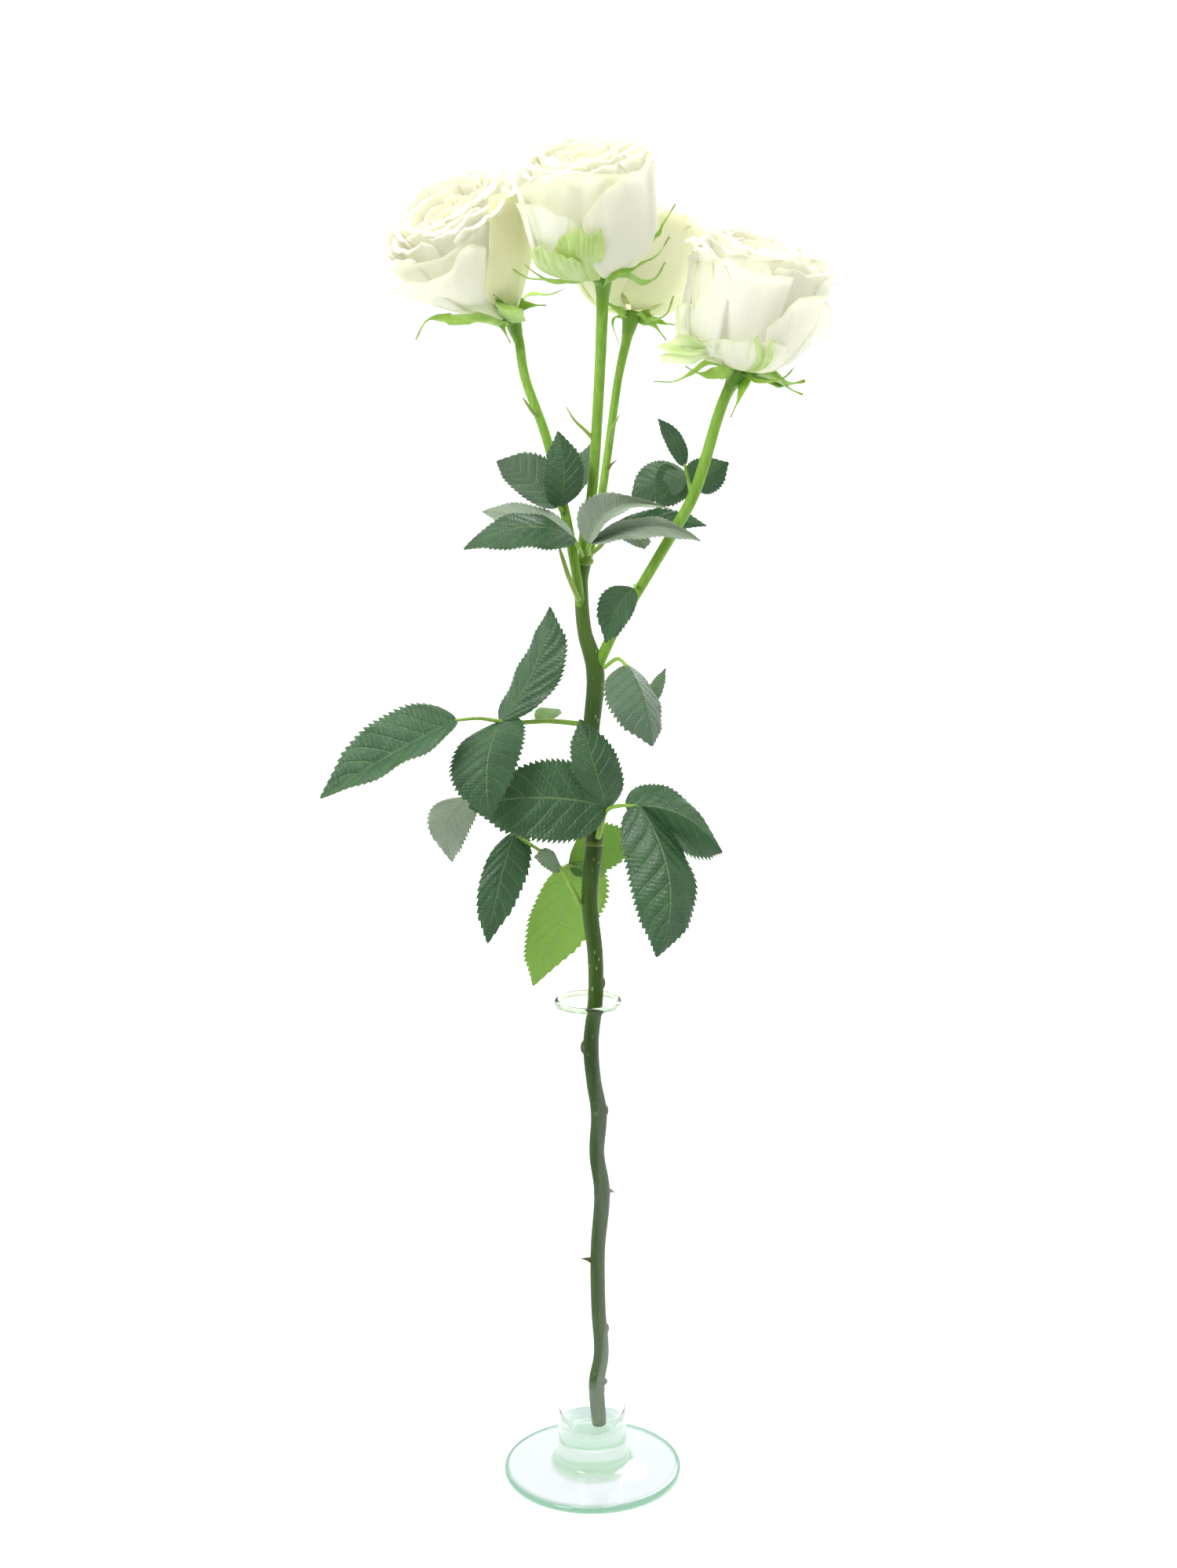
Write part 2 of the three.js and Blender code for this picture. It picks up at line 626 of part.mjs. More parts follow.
// The big loose petals laid over the cup. Each is given by ribs from one side
// edge to the other, and each rib by three places from low on the cup up to the
// lip: turn about the axis of the bloom in degrees, reach and height.
const LAID = {
  left: [
    [
      [[199, 24.5, 27.5], [195, 28, 37], [217, 32, 50]],
      [[227, 22.5, 28], [238, 26, 37], [241, 27, 43]],
      [[245, 22, 27.5], [257, 25, 37], [265, 26.5, 44.5]],
      [[276, 22, 28.5], [291, 24.5, 37], [301, 26.5, 45.5]],
    ],
    [
      [[208, 22, 19.5], [200, 28.5, 26.5], [196, 34, 33.5]],
      [[230, 20, 21], [238, 26.5, 31], [242, 30, 38.5]],
      [[252, 20, 20.5], [267, 26.5, 32.5], [275, 30.5, 45]],
      [[269, 19.5, 19.5], [282, 23, 27], [290, 26.5, 36]],
    ],
    [
      [[266, 18.5, 17.5], [286, 26.5, 34], [309, 27.5, 52.5]],
      [[289, 12, 10], [307, 25, 28.5], [331, 28, 46.5]],
      [[330, 10.5, 8.5], [334, 22, 21], [337, 26, 32.5]],
    ],
  ],
  top: [
    [
      [[262, 21, 13], [261, 23.5, 21.5], [262, 24.5, 28.5]],
      [[288, 20.5, 12], [290, 24, 25], [289, 25.5, 38.5]],
      [[321, 20, 11.5], [325, 23, 26.5], [322, 25, 41.5]],
      [[347, 22, 14], [358, 24, 25.5], [357, 25, 36]],
    ],
    [
      [[209, 21.5, 18.5], [184, 22.5, 26.5], [184, 24, 36.5]],
      [[242, 21.5, 18.5], [250, 23, 33.5], [258, 23.5, 45]],
      [[278, 21.5, 18], [293, 23, 31], [306, 23.5, 41]],
    ],
    [
      [[195, 21, 11], [184, 24, 19.5], [185, 25.5, 32.5]],
      [[224, 19.5, 10.5], [233, 24, 23.5], [237, 25.5, 34.5]],
      [[250, 19, 10.5], [256, 23, 19], [261, 24, 28]],
    ],
    [
      [[202, 18.5, 4.5], [197, 22.5, 7.5], [205, 25.5, 15]],
      [[226, 16.5, 5.5], [231, 22, 11.5], [236, 25.5, 18.5]],
      [[253, 18, 7.5], [253, 20, 9.5], [255, 22.5, 12.5]],
    ],
    [
      [[235, 17.5, 8], [235, 22, 12.5], [234, 24.5, 17.5]],
      [[251, 17.5, 8], [256, 24, 17.5], [260, 26, 28]],
      [[259, 18, 8.5], [264, 24, 16.5], [267, 25.5, 24.5]],
      [[272, 18.5, 9.5], [277, 23.5, 15.5], [277, 24.5, 21]],
    ],
  ],
  right: [
    [
      [[228, 19.5, 8.5], [225, 25, 22.5], [217, 26.5, 38]],
      [[260, 20.5, 10], [257, 26.5, 28.5], [253, 27, 40.5]],
      [[286, 24, 15], [289, 25.5, 29.5], [289, 26.5, 41]],
    ],
    [
      [[190, 18.5, 7.5], [198, 24.5, 20.5], [189, 26, 34]],
      [[213, 19.5, 8], [214, 26, 22.5], [205, 27, 36.5]],
      [[226, 20, 8.5], [222, 25.5, 23.5], [212, 26.5, 37]],
      [[238, 20.5, 9], [231, 25.5, 25], [224, 27, 38.5]],
    ],
    [
      [[210, 23, 4.5], [185, 26, 7.5], [185, 27, 17]],
      [[213, 20.5, 4.5], [185, 23, 9], [202, 27.5, 20.5]],
      [[216, 16.5, 4.5], [216, 24, 13], [211, 26.5, 21.5]],
    ],
    [
      [[288, 18.5, 7], [281, 25.5, 15], [278, 26.5, 22]],
      [[310, 19, 7.5], [297, 26.5, 21], [289, 29, 32.5]],
      [[320, 22, 12], [325, 26.5, 25.5], [321, 28.5, 36.5]],
    ],
    [
      [[313, 21.5, 11.5], [317, 26, 23], [321, 28.5, 34.5]],
      [[321, 21.5, 11.5], [326, 27, 22], [336, 29, 29]],
      [[322, 22, 11.5], [323, 27, 19], [329, 29.5, 20]],
    ],
    [
      [[238, 15.5, 4.5], [231, 20, 6], [228, 23.5, 10]],
      [[267, 17.5, 5.5], [264, 23, 10], [264, 26.5, 15.5]],
      [[279, 17, 5.5], [275, 24, 11.5], [274, 27, 17]],
      [[311, 17, 5], [306, 23, 11.5], [300, 26, 16.5]],
    ],
    [
      [[216, 14, 2.5], [176, 18, -2.5], [177, 27, -4]],
      [[233, 20, 7], [207, 22, 4.5], [203, 33, 4.5]],
      [[243, 21, 8.5], [237, 23.5, 10], [231, 25.5, 11]],
    ],
  ],
  back: [],
};

// Move a solid from bloom space (axis up, hip at the origin) to its place.
function settle(body, bloom) {
  const up = along(bloom.axis).normalize();
  const turn = new THREE.Quaternion().setFromUnitVectors(point(0, 0, 1), up);
  const matrix = new THREE.Matrix4().compose(along(bloom.hip), turn, point(1, 1, 1));
  return body.transform(matrix.elements);
}

// A petal grows from the heart as a narrow claw, widens into a cup and rolls
// its lip outward. One side edge tucks under its neighbour. The ribs give its
// radius and height from the claw to the lip, which is lower at the corners.
function petal(ribs, { turn, half, widest, phase }) {
  const centre = THREE.MathUtils.degToRad(turn);
  const cover = THREE.MathUtils.degToRad(half);
  const line = new THREE.CatmullRomCurve3(ribs.map(([radius, height]) => point(radius, 0, height)));
  const surface = (u, v) => {
    const spread = 0.42 + 0.58 * smooth(0, 0.55, v);
    const angle = centre + cover * spread * u;
    const notch = 0.2 * Math.abs(u) ** 3 + 0.03 * Math.cos(u * 9 + phase);
    const spot = line.getPoint(v * (1 - notch));
    const wave = PETAL_WAVE * Math.sin(u * 4 + phase) * v ** 3;
    const radius = spot.x + PETAL_TUCK * u * (spot.x / widest) + wave * 0.4;
    return point(radius * Math.cos(angle), radius * Math.sin(angle), spot.z + wave);
  };
  return blade(surface, PETAL_COLUMNS, PETAL_ROWS, PETAL_THICKNESS);
}

// A petal of the cup that belongs to a ring and points to the given turn.
function cupPetal(bloom, ring, turn, phase) {
  const widest = bloom.reach * ring.radius;
  const rim = THREE.MathUtils.lerp(RIM_LEVEL, bloom.heart, ring.inward) + ring.crown;
  const top = bloom.height * rim;
  const foot = bloom.height * ring.start;
  const between = ([funnel, bowl]) => THREE.MathUtils.lerp(funnel, bowl, bloom.belly);
  const ribs = [
    [widest * CLAW_RADIUS, foot + CLAW.height],
    ...CUP_LEVELS.map(({ radius, level }) => [
      widest * between(radius), THREE.MathUtils.lerp(foot, top, between(level)),
    ]),
    [widest + ring.lip, top],
  ];
  return petal(ribs, { turn, half: ring.cover, widest, phase });
}

// A laid petal starts as a claw on the hip, narrower than the petal, swings out
// round the belly of the cup and then follows its ribs.
function laidPetal(ribs, belly) {
  const middle = ribs.reduce((sum, [[turn]]) => sum + turn, 0) / ribs.length;
  const lines = ribs.map((rib) => {
    const [turn, reach, height] = rib[0];
    const rise = (height - CLAW.height) * THREE.MathUtils.lerp(BELLY.funnel, BELLY.bowl, belly);
    return new THREE.CatmullRomCurve3([
      point(THREE.MathUtils.lerp(middle, turn, CLAW.share), CLAW.reach, CLAW.height),
      point(THREE.MathUtils.lerp(middle, turn, BELLY.share), reach * BELLY.reach, CLAW.height + rise),
      ...rib.map(along),
    ]);
  });
  const gaps = lines.length - 1;
  const surface = (u, v) => {
    const place = ((u + 1) / 2) * gaps;
    const low = Math.min(Math.floor(place), gaps - 1);
    const spot = lines[low].getPoint(v).lerp(lines[low + 1].getPoint(v), place - low);
    const angle = THREE.MathUtils.degToRad(spot.x);
    return point(spot.y * Math.cos(angle), spot.y * Math.sin(angle), spot.z);
  };
  const columns = lines.map((_, i) => (i / gaps) * 2 - 1);
  return blade(surface, columns, LAID_ROWS, PETAL_THICKNESS);
}

// The heart fills the middle of a bloom, so that every petal grows from it.
const HEART_SIDES = 9;
function heart({ reach, height, belly }) {
  const profile = [
    [0, FIT_GAP],
    [reach * 0.2, FIT_GAP + 0.1],
    [reach * THREE.MathUtils.lerp(0.36, 0.5, belly), height * 0.12],
    [reach * 0.5, height * 0.4],
    [reach * 0.3, height * 0.78],
    [0, height * 0.88],
  ];
  const points = profile.map(([radius, level]) => new THREE.Vector2(radius, level));
  const turned = new THREE.LatheGeometry(points, HEART_SIDES);
  turned.rotateX(Math.PI / 2);
  return solid(turned);
}

function bloomHead(place) {
  const bloom = BLOOMS[place];
  const parts = [heart(bloom)];
  bloom.outer.forEach((turn, number) => {
    parts.push(cupPetal(bloom, OUTER_RING, turn, number * WAVE_SHIFT));
  });
  RINGS.slice(0, bloom.rings).forEach((ring, order) => {
    for (let number = 0; number < ring.count; number += 1) {
      const turn = bloom.spin + (order + 1) * RING_TWIST + (number * 360) / ring.count;
      parts.push(cupPetal(bloom, ring, turn, number * WAVE_SHIFT + order + 1));
    }
  });
  LAID[place].forEach((ribs) => parts.push(laidPetal(ribs, bloom.belly)));
  return settle(fuse(parts, PETAL_TOLERANCE), bloom);
}

// The green hip under a bloom with its pointed sepals. Rib runs along the
// middle of a sepal after it leaves the hip, root reaches from there to one
// side edge near the hip, and end does so towards the tip.
const SEPALS = {
  left: [
    {
      rib: [[-37, -2, 459.5], [-49, 6, 460], [-56.5, 3, 459.5], [-61, 2, 452.5]],
      root: [0, -3.2, 0.2], end: [1.2, -1.8, 4],
    },
    {
      rib: [[-27, -7, 463.5], [-29.5, 1, 465.5], [-31.5, -10.5, 468]],
      root: [-4.6, 1.5, 0.3], end: [-3.8, 1, 0.8],
    },
    {
      rib: [[-23, 10, 464], [-19, 9, 464.5], [-13, 8, 464.5]],
      root: [2.4, -2.2, 2.2], end: [1.4, -1, 2.6],
    },
    {
      rib: [[-19.5, 34, 469], [-12, 32, 469], [-6.5, 33, 471]],
      root: [0.5, 1.8, 0.6], end: [0, 1.2, 0.6],
    },
    {
      rib: [[-30.5, 12, 459], [-29, 11.5, 456], [-26.5, 12, 451]],
      root: [-2, -2.4, 0.4], end: [-1.8, -0.6, -0.4],
    },
  ],
  top: [
    {
      rib: [[-1.5, -12, 472.5], [-9.5, -17, 472], [-15.5, -30, 474.5], [-20, -31, 478]],
      root: [0.4, -2.6, 0.2], end: [0.6, -1.4, 0.9],
    },
    {
      rib: [[-1.5, -8, 472], [-11.5, -9, 473], [-19.5, -10, 474], [-24.5, -10, 477]],
      root: [0.3, 1.9, 0.5], end: [0.2, 1.2, 0.4],
    },
    {
      rib: [[11, -28, 474], [17, -28, 475.5], [24, -30, 479]],
      root: [0.5, -2.2, 1.2], end: [0.2, -0.8, 2.2],
    },
    {
      rib: [[17, -13, 474], [22, -10, 471.5], [27, -8, 473.5], [30.5, -8, 479]],
      root: [0, 1.9, 0.9], end: [0, 2.3, 1.2],
    },
    {
      rib: [[20.5, 4, 479.5], [27, 9, 488], [30.5, 11, 493.5], [35, 12, 500.5]],
      root: [0, 3, 1.2], end: [2.2, 1.4, 1.5],
    },
    {
      rib: [[20.5, -2, 478.5], [28, 2, 482], [32.5, 3, 488.5]],
      root: [0, -0.1, 0.4], end: [0.8, -0.2, 0.5],
    },
  ],
  right: [
    {
      rib: [[50, -12, 439.5], [44, -10, 439], [37.5, -11, 442]],
      root: [0.3, -2.4, 1.2], end: [-0.4, -1.4, 2.6],
    },
    {
      rib: [[47.5, 7, 443], [41, 6, 439.5], [34.5, 5, 436.5], [26.5, 5, 436.5]],
      root: [0.3, 3.6, 0.9], end: [0.3, 1.6, 1.2],
    },
    {
      rib: [[60.5, 2, 436.5], [58, -5, 431], [54.5, -5, 423.5]],
      root: [3.2, -0.4, 0.6], end: [2.6, -0.8, 0.6],
    },
    {
      rib: [[64, -6, 436.5], [69.5, -6, 436.5], [74.5, -6, 438], [78.5, -6, 442.5]],
      root: [0, 0.7, 0.8], end: [0.3, -0.3, 0.6],
    },
    {
      rib: [[69, 9, 437.5], [76.5, 11, 435], [83.5, 12, 436]],
      root: [0.4, 5.9, 1.6], end: [0.3, 4.5, 3.4],
    },
    {
      rib: [[73.5, 10, 436], [78, 11, 433], [82.5, 11, 431]],
      root: [0.3, 5.1, 1.6], end: [0.3, 2.9, 1],
    },
  ],
  back: [
    {
      rib: [[14.5, 30, 462.5], [10, 27, 465.5], [8, 26, 468]],
      root: [-0.5, -2, 1.6], end: [-1, -0.8, 1.8],
    },
    {
      rib: [[25.5, 31, 459], [32, 29, 461], [35, 28, 468]],
      root: [0, -2.6, 0.8], end: [0.6, -1.2, 0.4],
    },
    {
      rib: [[24.5, 34, 459], [28, 36, 457], [32.5, 36, 451.5]],
      root: [2, -4.5, 1.8], end: [2, -0.6, 1.4],
    },
    {
      rib: [[29.5, 51, 459], [32.5, 50, 458], [37, 51, 457.5]],
      root: [0, 2.4, 1], end: [0.2, 1, 1.2],
    },
    {
      rib: [[13, 40, 460.5], [12, 40, 458], [14.5, 39, 450]],
      root: [-0.4, -0.7, 0.8], end: [0.9, 0.6, 0.1],
    },
  ],
};

// A sepal leaves the hip over two seats, given by how far they lie below its
// top and out from the axis. It is narrowed at the seat, widest a third of the
// way along, and tapers to a blunt point. Its edges curl up towards the bloom.
const SEPAL_SEATS = [{ below: 1.2, out: 1.6 }, { below: 1.0, out: 4.6 }];
const SEPAL_NECK = 0.55;
const SEPAL_WIDEST = 0.3;
const SEPAL_TAPER = [0.45, 0.9];
const SEPAL_TURNED = 0.67;
const SEPAL_POINT = 0.4;
const SEPAL_CUP = 0.4;
function sepal({ rib, root, end }, { hip, axis }) {
  const up = along(axis).normalize();
  const away = along(rib[0]).sub(along(hip));
  away.addScaledVector(up, -away.dot(up)).normalize();
  const seats = SEPAL_SEATS.map(({ below, out }) => (
    along(hip).addScaledVector(up, -below).addScaledVector(away, out)
  ));
  const midrib = new THREE.CatmullRomCurve3([...seats, ...rib.map(along)]);
  const surface = (u, v) => {
    const side = along(root).lerp(along(end), Math.min(v / SEPAL_TURNED, 1));
    const bend = side.clone().cross(midrib.getTangent(v)).normalize();
    const cup = SEPAL_CUP * Math.abs(u) * Math.sign(bend.dot(up));
    const neck = THREE.MathUtils.lerp(SEPAL_NECK, 1, smooth(0, SEPAL_WIDEST, v));
    const width = neck * (1 - smooth(...SEPAL_TAPER, v));
    side.setLength(side.length() * width + SEPAL_POINT);
    return midrib.getPoint(v).addScaledVector(side, u).addScaledVector(bend, cup);
  };
  return blade(surface, [-1, 0, 1], rib.length + 1, SEPAL_THICKNESS);
}

// The hip with its sepals, which are cut clear of the petals that lie on them
// by moving the bloom a little to all sides.
const HIP_SIDES = 8;
const HIP_STEPS = 4;
const HIP_MIDDLE = 0.8;
const SEPAL_EASE = 0.45;
function calyx(place, head) {
  const bloom = BLOOMS[place];
  const thickness = [HIP_FOOT, HIP_TOP * HIP_MIDDLE, HIP_TOP];
  const hip = limb(hipLine(bloom), thickness, { sides: HIP_SIDES, steps: HIP_STEPS });
  const whole = fuse([hip, ...SEPALS[place].map((shape) => sepal(shape, bloom))]);
  const steps = [-1, 0, 1];
  const shifts = steps.flatMap((x) => steps.flatMap((y) => steps.map((z) => point(x, y, z))));
  const clear = shifts.reduce((rest, shift) => (
    rest.subtract(head.translate(shift.setLength(SEPAL_EASE).toArray()))
  ), whole);
  return fuse([clear], TRIM_TOLERANCE);
}

const rose = new THREE.Group();
rose.name = 'rose_spray_in_vase';
rose.add(
  piece('glass_vase', vase(), GLASS),
  piece('stem', stem(), CANE),
  piece('leaf_low_left', leafLowLeft(), LEAF),
  piece('leaf_low_right', leafLowRight(), LEAF),
  piece('leaf_middle_left', leafMiddleLeft(), LEAF),
  piece('leaf_middle_right', leafMiddleRight(), LEAF),
  piece('leaf_small_right', leafSmallRight(), LEAF),
  piece('leaf_top_left', leafTopLeft(), LEAF),
  piece('leaf_top_centre', leafTopCentre(), LEAF),
  piece('leaf_top_right', leafTopRight(), LEAF),
  piece('leaf_side_spray', leafSideSpray(), LEAF),
);
for (const place of Object.keys(BLOOMS)) {
  const head = bloomHead(place);
  rose.add(piece(`bloom_${place}`, head, PETAL));
  rose.add(piece(`calyx_${place}`, calyx(place, head), SEPAL));
}

export default rose;
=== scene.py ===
import math

import bpy
import numpy as np
from mathutils import Matrix, Vector


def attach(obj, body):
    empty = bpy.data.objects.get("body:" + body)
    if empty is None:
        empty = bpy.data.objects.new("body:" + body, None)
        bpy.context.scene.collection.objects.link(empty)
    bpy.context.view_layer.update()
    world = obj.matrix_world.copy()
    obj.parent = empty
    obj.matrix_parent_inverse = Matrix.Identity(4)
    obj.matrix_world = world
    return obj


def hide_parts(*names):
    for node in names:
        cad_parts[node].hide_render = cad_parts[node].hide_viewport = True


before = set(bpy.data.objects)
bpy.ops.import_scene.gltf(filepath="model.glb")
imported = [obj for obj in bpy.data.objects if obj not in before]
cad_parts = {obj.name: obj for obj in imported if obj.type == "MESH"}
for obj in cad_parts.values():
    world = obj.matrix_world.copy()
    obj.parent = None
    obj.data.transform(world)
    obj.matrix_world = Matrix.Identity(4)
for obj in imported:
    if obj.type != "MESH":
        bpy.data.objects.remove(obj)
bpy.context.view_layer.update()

# The camera stands 0.8 m in front of the vase, level with the blooms, and looks
# slightly down. It leans by half a degree.
camera = bpy.data.objects.new("studio_camera", bpy.data.cameras.new("studio_camera"))
camera.data.sensor_width = 36.0
camera.data.lens = 49.36
camera.data.clip_start = 0.02
camera.matrix_world = (
    Matrix.Translation((0.001, -0.806, 0.448))
    @ Matrix.Rotation(math.radians(78.6), 4, "X")
    @ Matrix.Rotation(math.radians(-0.55), 4, "Z")
)
bpy.context.scene.collection.objects.link(camera)
bpy.context.scene.camera = camera
bpy.context.scene.view_settings.view_transform = "Standard"


# The studio: a white sweep that runs from the floor up behind the vase, lit
# from all sides by a bright room with a darker side behind the camera.
class Field:
    """A socket of a finish. Arithmetic on it adds the Math nodes."""

    def __init__(self, tree, socket=None):
        self.tree = tree
        self.socket = socket

    def node(self, kind, settings, sockets, out=0):
        made = self.tree.nodes.new(kind)
        for key, value in settings.items():
            if key == "stops":
                while len(made.color_ramp.elements) < len(value):
                    made.color_ramp.elements.new(1.0)
                for element, (place, colour) in zip(made.color_ramp.elements, value):
                    element.position = place
                    element.color = (*colour, 1.0)
            else:
                setattr(made, key, value)
        for key, value in sockets.items():
            socket = made.inputs[key]
            if isinstance(value, Field):
                self.tree.links.new(value.socket, socket)
            elif socket.type == "RGBA" and len(value) == 3:
                socket.default_value = (*value, 1.0)
            else:
                socket.default_value = value
        return Field(self.tree, made.outputs[out] if len(made.outputs) else None)

    def maths(self, operation, *values):
        return self.node("ShaderNodeMath", {"operation": operation}, dict(enumerate(values)))

    def __add__(self, other):
        return self.maths("ADD", self, other)

    def __radd__(self, other):
        return self.maths("ADD", other, self)

    def __sub__(self, other):
        return self.maths("SUBTRACT", self, other)

    def __rsub__(self, other):
        return self.maths("SUBTRACT", other, self)

    def __mul__(self, other):
        return self.maths("MULTIPLY", self, other)

    def __rmul__(self, other):
        return self.maths("MULTIPLY", other, self)

    def __pow__(self, other):
        return self.maths("POWER", self, other)

    def __abs__(self):
        return self.maths("ABSOLUTE", self)

    def rise(self, low, high):
        """0 below low, 1 above high, smooth between."""
        limits = {"Value": self, "From Min": low, "From Max": high}
        return self.node("ShaderNodeMapRange", {"interpolation_type": "SMOOTHSTEP"}, limits)

    def blend(self, none, full):
        """The colour none where this is 0 and full where it is 1."""
        return self.node("ShaderNodeMix", {"data_type": "RGBA"}, {0: self, 6: none, 7: full}, out=2)

    def part(self, name):
        """One of the three numbers of a vector."""
        return self.node("ShaderNodeSeparateXYZ", {}, {0: self}, out=name)

    def times(self, numbers):
        """This vector or colour, times three numbers."""
        return self.node("ShaderNodeVectorMath", {"operation": "MULTIPLY"}, {0: self, 1: numbers})

    def noise(self, scale, detail=2.0, stretch=(1.0, 1.0, 1.0)):
        """Soft noise from 0 to 1 on this vector."""
        sockets = {"Vector": self.times(stretch), "Scale": scale, "Detail": detail}
        return self.node("ShaderNodeTexNoise", {}, sockets)

    def cells(self, feature, scale):
        """Distances in a pattern of cells on this vector."""
        sockets = {"Vector": self, "Scale": scale}
        return self.node("ShaderNodeTexVoronoi", {"feature": feature}, sockets, out="Distance")

    def bump(self, strength, depth):
        """The normal of a surface with this relief, whose depth is in metres."""
        sockets = {"Strength": strength, "Distance": depth, "Height": self}
        return self.node("ShaderNodeBump", {}, sockets)


def finish(name):
    material = bpy.data.materials.new(name)
    material.use_nodes = True
    material.node_tree.nodes.clear()
    return material, Field(material.node_tree)


SWEEP_FRONT, SWEEP_BACK, SWEEP_HALF = -0.105, 1.4, 2.6
SWEEP_RADIUS, SWEEP_HEIGHT, SWEEP_STEPS = 0.8, 2.6, 12
sweep_line = [(SWEEP_FRONT, 0.0), (0.0, 0.0)]
for step in range(SWEEP_STEPS + 1):
    turn = math.radians(90.0 * step / SWEEP_STEPS)
    sweep_line.append((SWEEP_BACK + SWEEP_RADIUS * math.sin(turn), SWEEP_RADIUS * (1 - math.cos(turn))))
sweep_line.append((SWEEP_BACK + SWEEP_RADIUS, SWEEP_HEIGHT))
sweep_points = [(side * SWEEP_HALF, y, z) for y, z in sweep_line for side in (-1, 1)]
sweep_faces = [(2 * i, 2 * i + 1, 2 * i + 3, 2 * i + 2) for i in range(len(sweep_line) - 1)]
sweep_mesh = bpy.data.meshes.new("paper_sweep")
sweep_mesh.from_pydata(sweep_points, [], sweep_faces)
sweep_mesh.polygons.foreach_set("use_smooth", [True] * len(sweep_faces))
sweep = bpy.data.objects.new("paper_sweep", sweep_mesh)
bpy.context.scene.collection.objects.link(sweep)
paper, mark = finish("white_paper")
place = mark.node("ShaderNodeNewGeometry", {}, {}, out="Position")
tooth = place.noise(900.0)
# Within about 5 cm of the vase's axis the paper glows brighter. This is a painted pool of light that fills
# in the shadow the glass foot casts.
away = (place.part("X") ** 2.0 + place.part("Y") ** 2.0) ** 0.5
mark.node("ShaderNodeOutputMaterial", {}, {"Surface": mark.node("ShaderNodeBsdfPrincipled", {}, {
    "Base Color": tooth.blend((0.93, 0.94, 0.94), (0.96, 0.965, 0.965)),
    "Roughness": 0.9,
    "Emission Color": away.rise(0.05, 0.16).blend((1.0, 1.0, 1.0), (0.7, 0.7, 0.7)),
    "Emission Strength": 0.31,
})})
sweep_mesh.materials.append(paper)

sky = bpy.data.worlds.new("studio_room")
sky.use_nodes = True
sky.node_tree.nodes.clear()
bpy.context.scene.world = sky
mark = Field(sky.node_tree)
toward = mark.node("ShaderNodeTexCoord", {}, {}, out="Generated")
behind_camera = (0.0 - toward.part("Y")).rise(0.7, 0.97)
mark.node("ShaderNodeOutputWorld", {}, {"Surface": mark.node("ShaderNodeBackground", {}, {
    "Color": behind_camera.blend((1.0, 1.0, 1.0), (0.10, 0.12, 0.13)),
    "Strength": 0.98,
})})

for lamp_name, lamp_place, lamp_aim, lamp_size, lamp_power, lamp_colour in (
    ("key_lamp", (-0.9, -1.0, 1.25), (0.0, 0.0, 0.35), 0.6, 17.0, (1.0, 0.99, 0.97)),
    ("back_lamp", (0.55, 1.1, 1.1), (0.0, 0.0, 0.35), 0.8, 13.0, (1.0, 1.0, 1.0)),
    ("top_lamp", (0.0, 0.1, 1.7), (0.0, 0.0, 0.3), 0.7, 13.0, (0.97, 0.99, 1.0)),
):
    lamp = bpy.data.objects.new(lamp_name, bpy.data.lights.new(lamp_name, "AREA"))
    lamp.data.size = lamp_size
    lamp.data.energy = lamp_power
    lamp.data.color = lamp_colour
    lamp.location = lamp_place
    lamp.rotation_euler = (Vector(lamp_aim) - Vector(lamp_place)).to_track_quat("-Z", "Y").to_euler()
    bpy.context.scene.collection.objects.link(lamp)


# The vase is clear glass with a faint green where it is thick. The tube is
# drawn, its rim fire-polished, and it is fused to a solid round foot.
MM = 0.001


def spline(points, t):
    """Places at t, from 0 to 1, on a smooth curve through the points."""
    points = np.asarray(points, float)
    t = np.asarray(t, float)
    ends = np.vstack([2 * points[0] - points[1], points, 2 * points[-1] - points[-2]])
    place = np.clip(t, 0.0, 1.0) * (len(points) - 1)
    low = np.minimum(place.astype(int), len(points) - 2)
    part = (place - low)[..., None]
    p0, p1, p2, p3 = (ends[low + k] for k in range(4))
    d0, d1, d2 = (
        np.maximum(np.linalg.norm(b - a, axis=-1, keepdims=True), 1e-9) ** 0.5
        for a, b in ((p0, p1), (p1, p2), (p2, p3))
    )
    m1 = ((p1 - p0) / d0 - (p2 - p0) / (d0 + d1) + (p2 - p1) / d1) * d1
    m2 = ((p2 - p1) / d1 - (p3 - p1) / (d1 + d2) + (p3 - p2) / d2) * d1
    cubic = 2 * p1 - 2 * p2 + m1 + m2
    square = -3 * p1 + 3 * p2 - 2 * m1 - m2
    return ((cubic * part + square) * part + m1) * part + p1


def unit(vectors):
    """Vectors of length one, with the same directions."""
    return vectors / np.maximum(np.linalg.norm(vectors, axis=-1, keepdims=True), 1e-9)


def layers(*values):
    """Arrays spread to one shape, as the numbers of each point."""
    return np.stack(np.broadcast_arrays(*values), axis=-1)


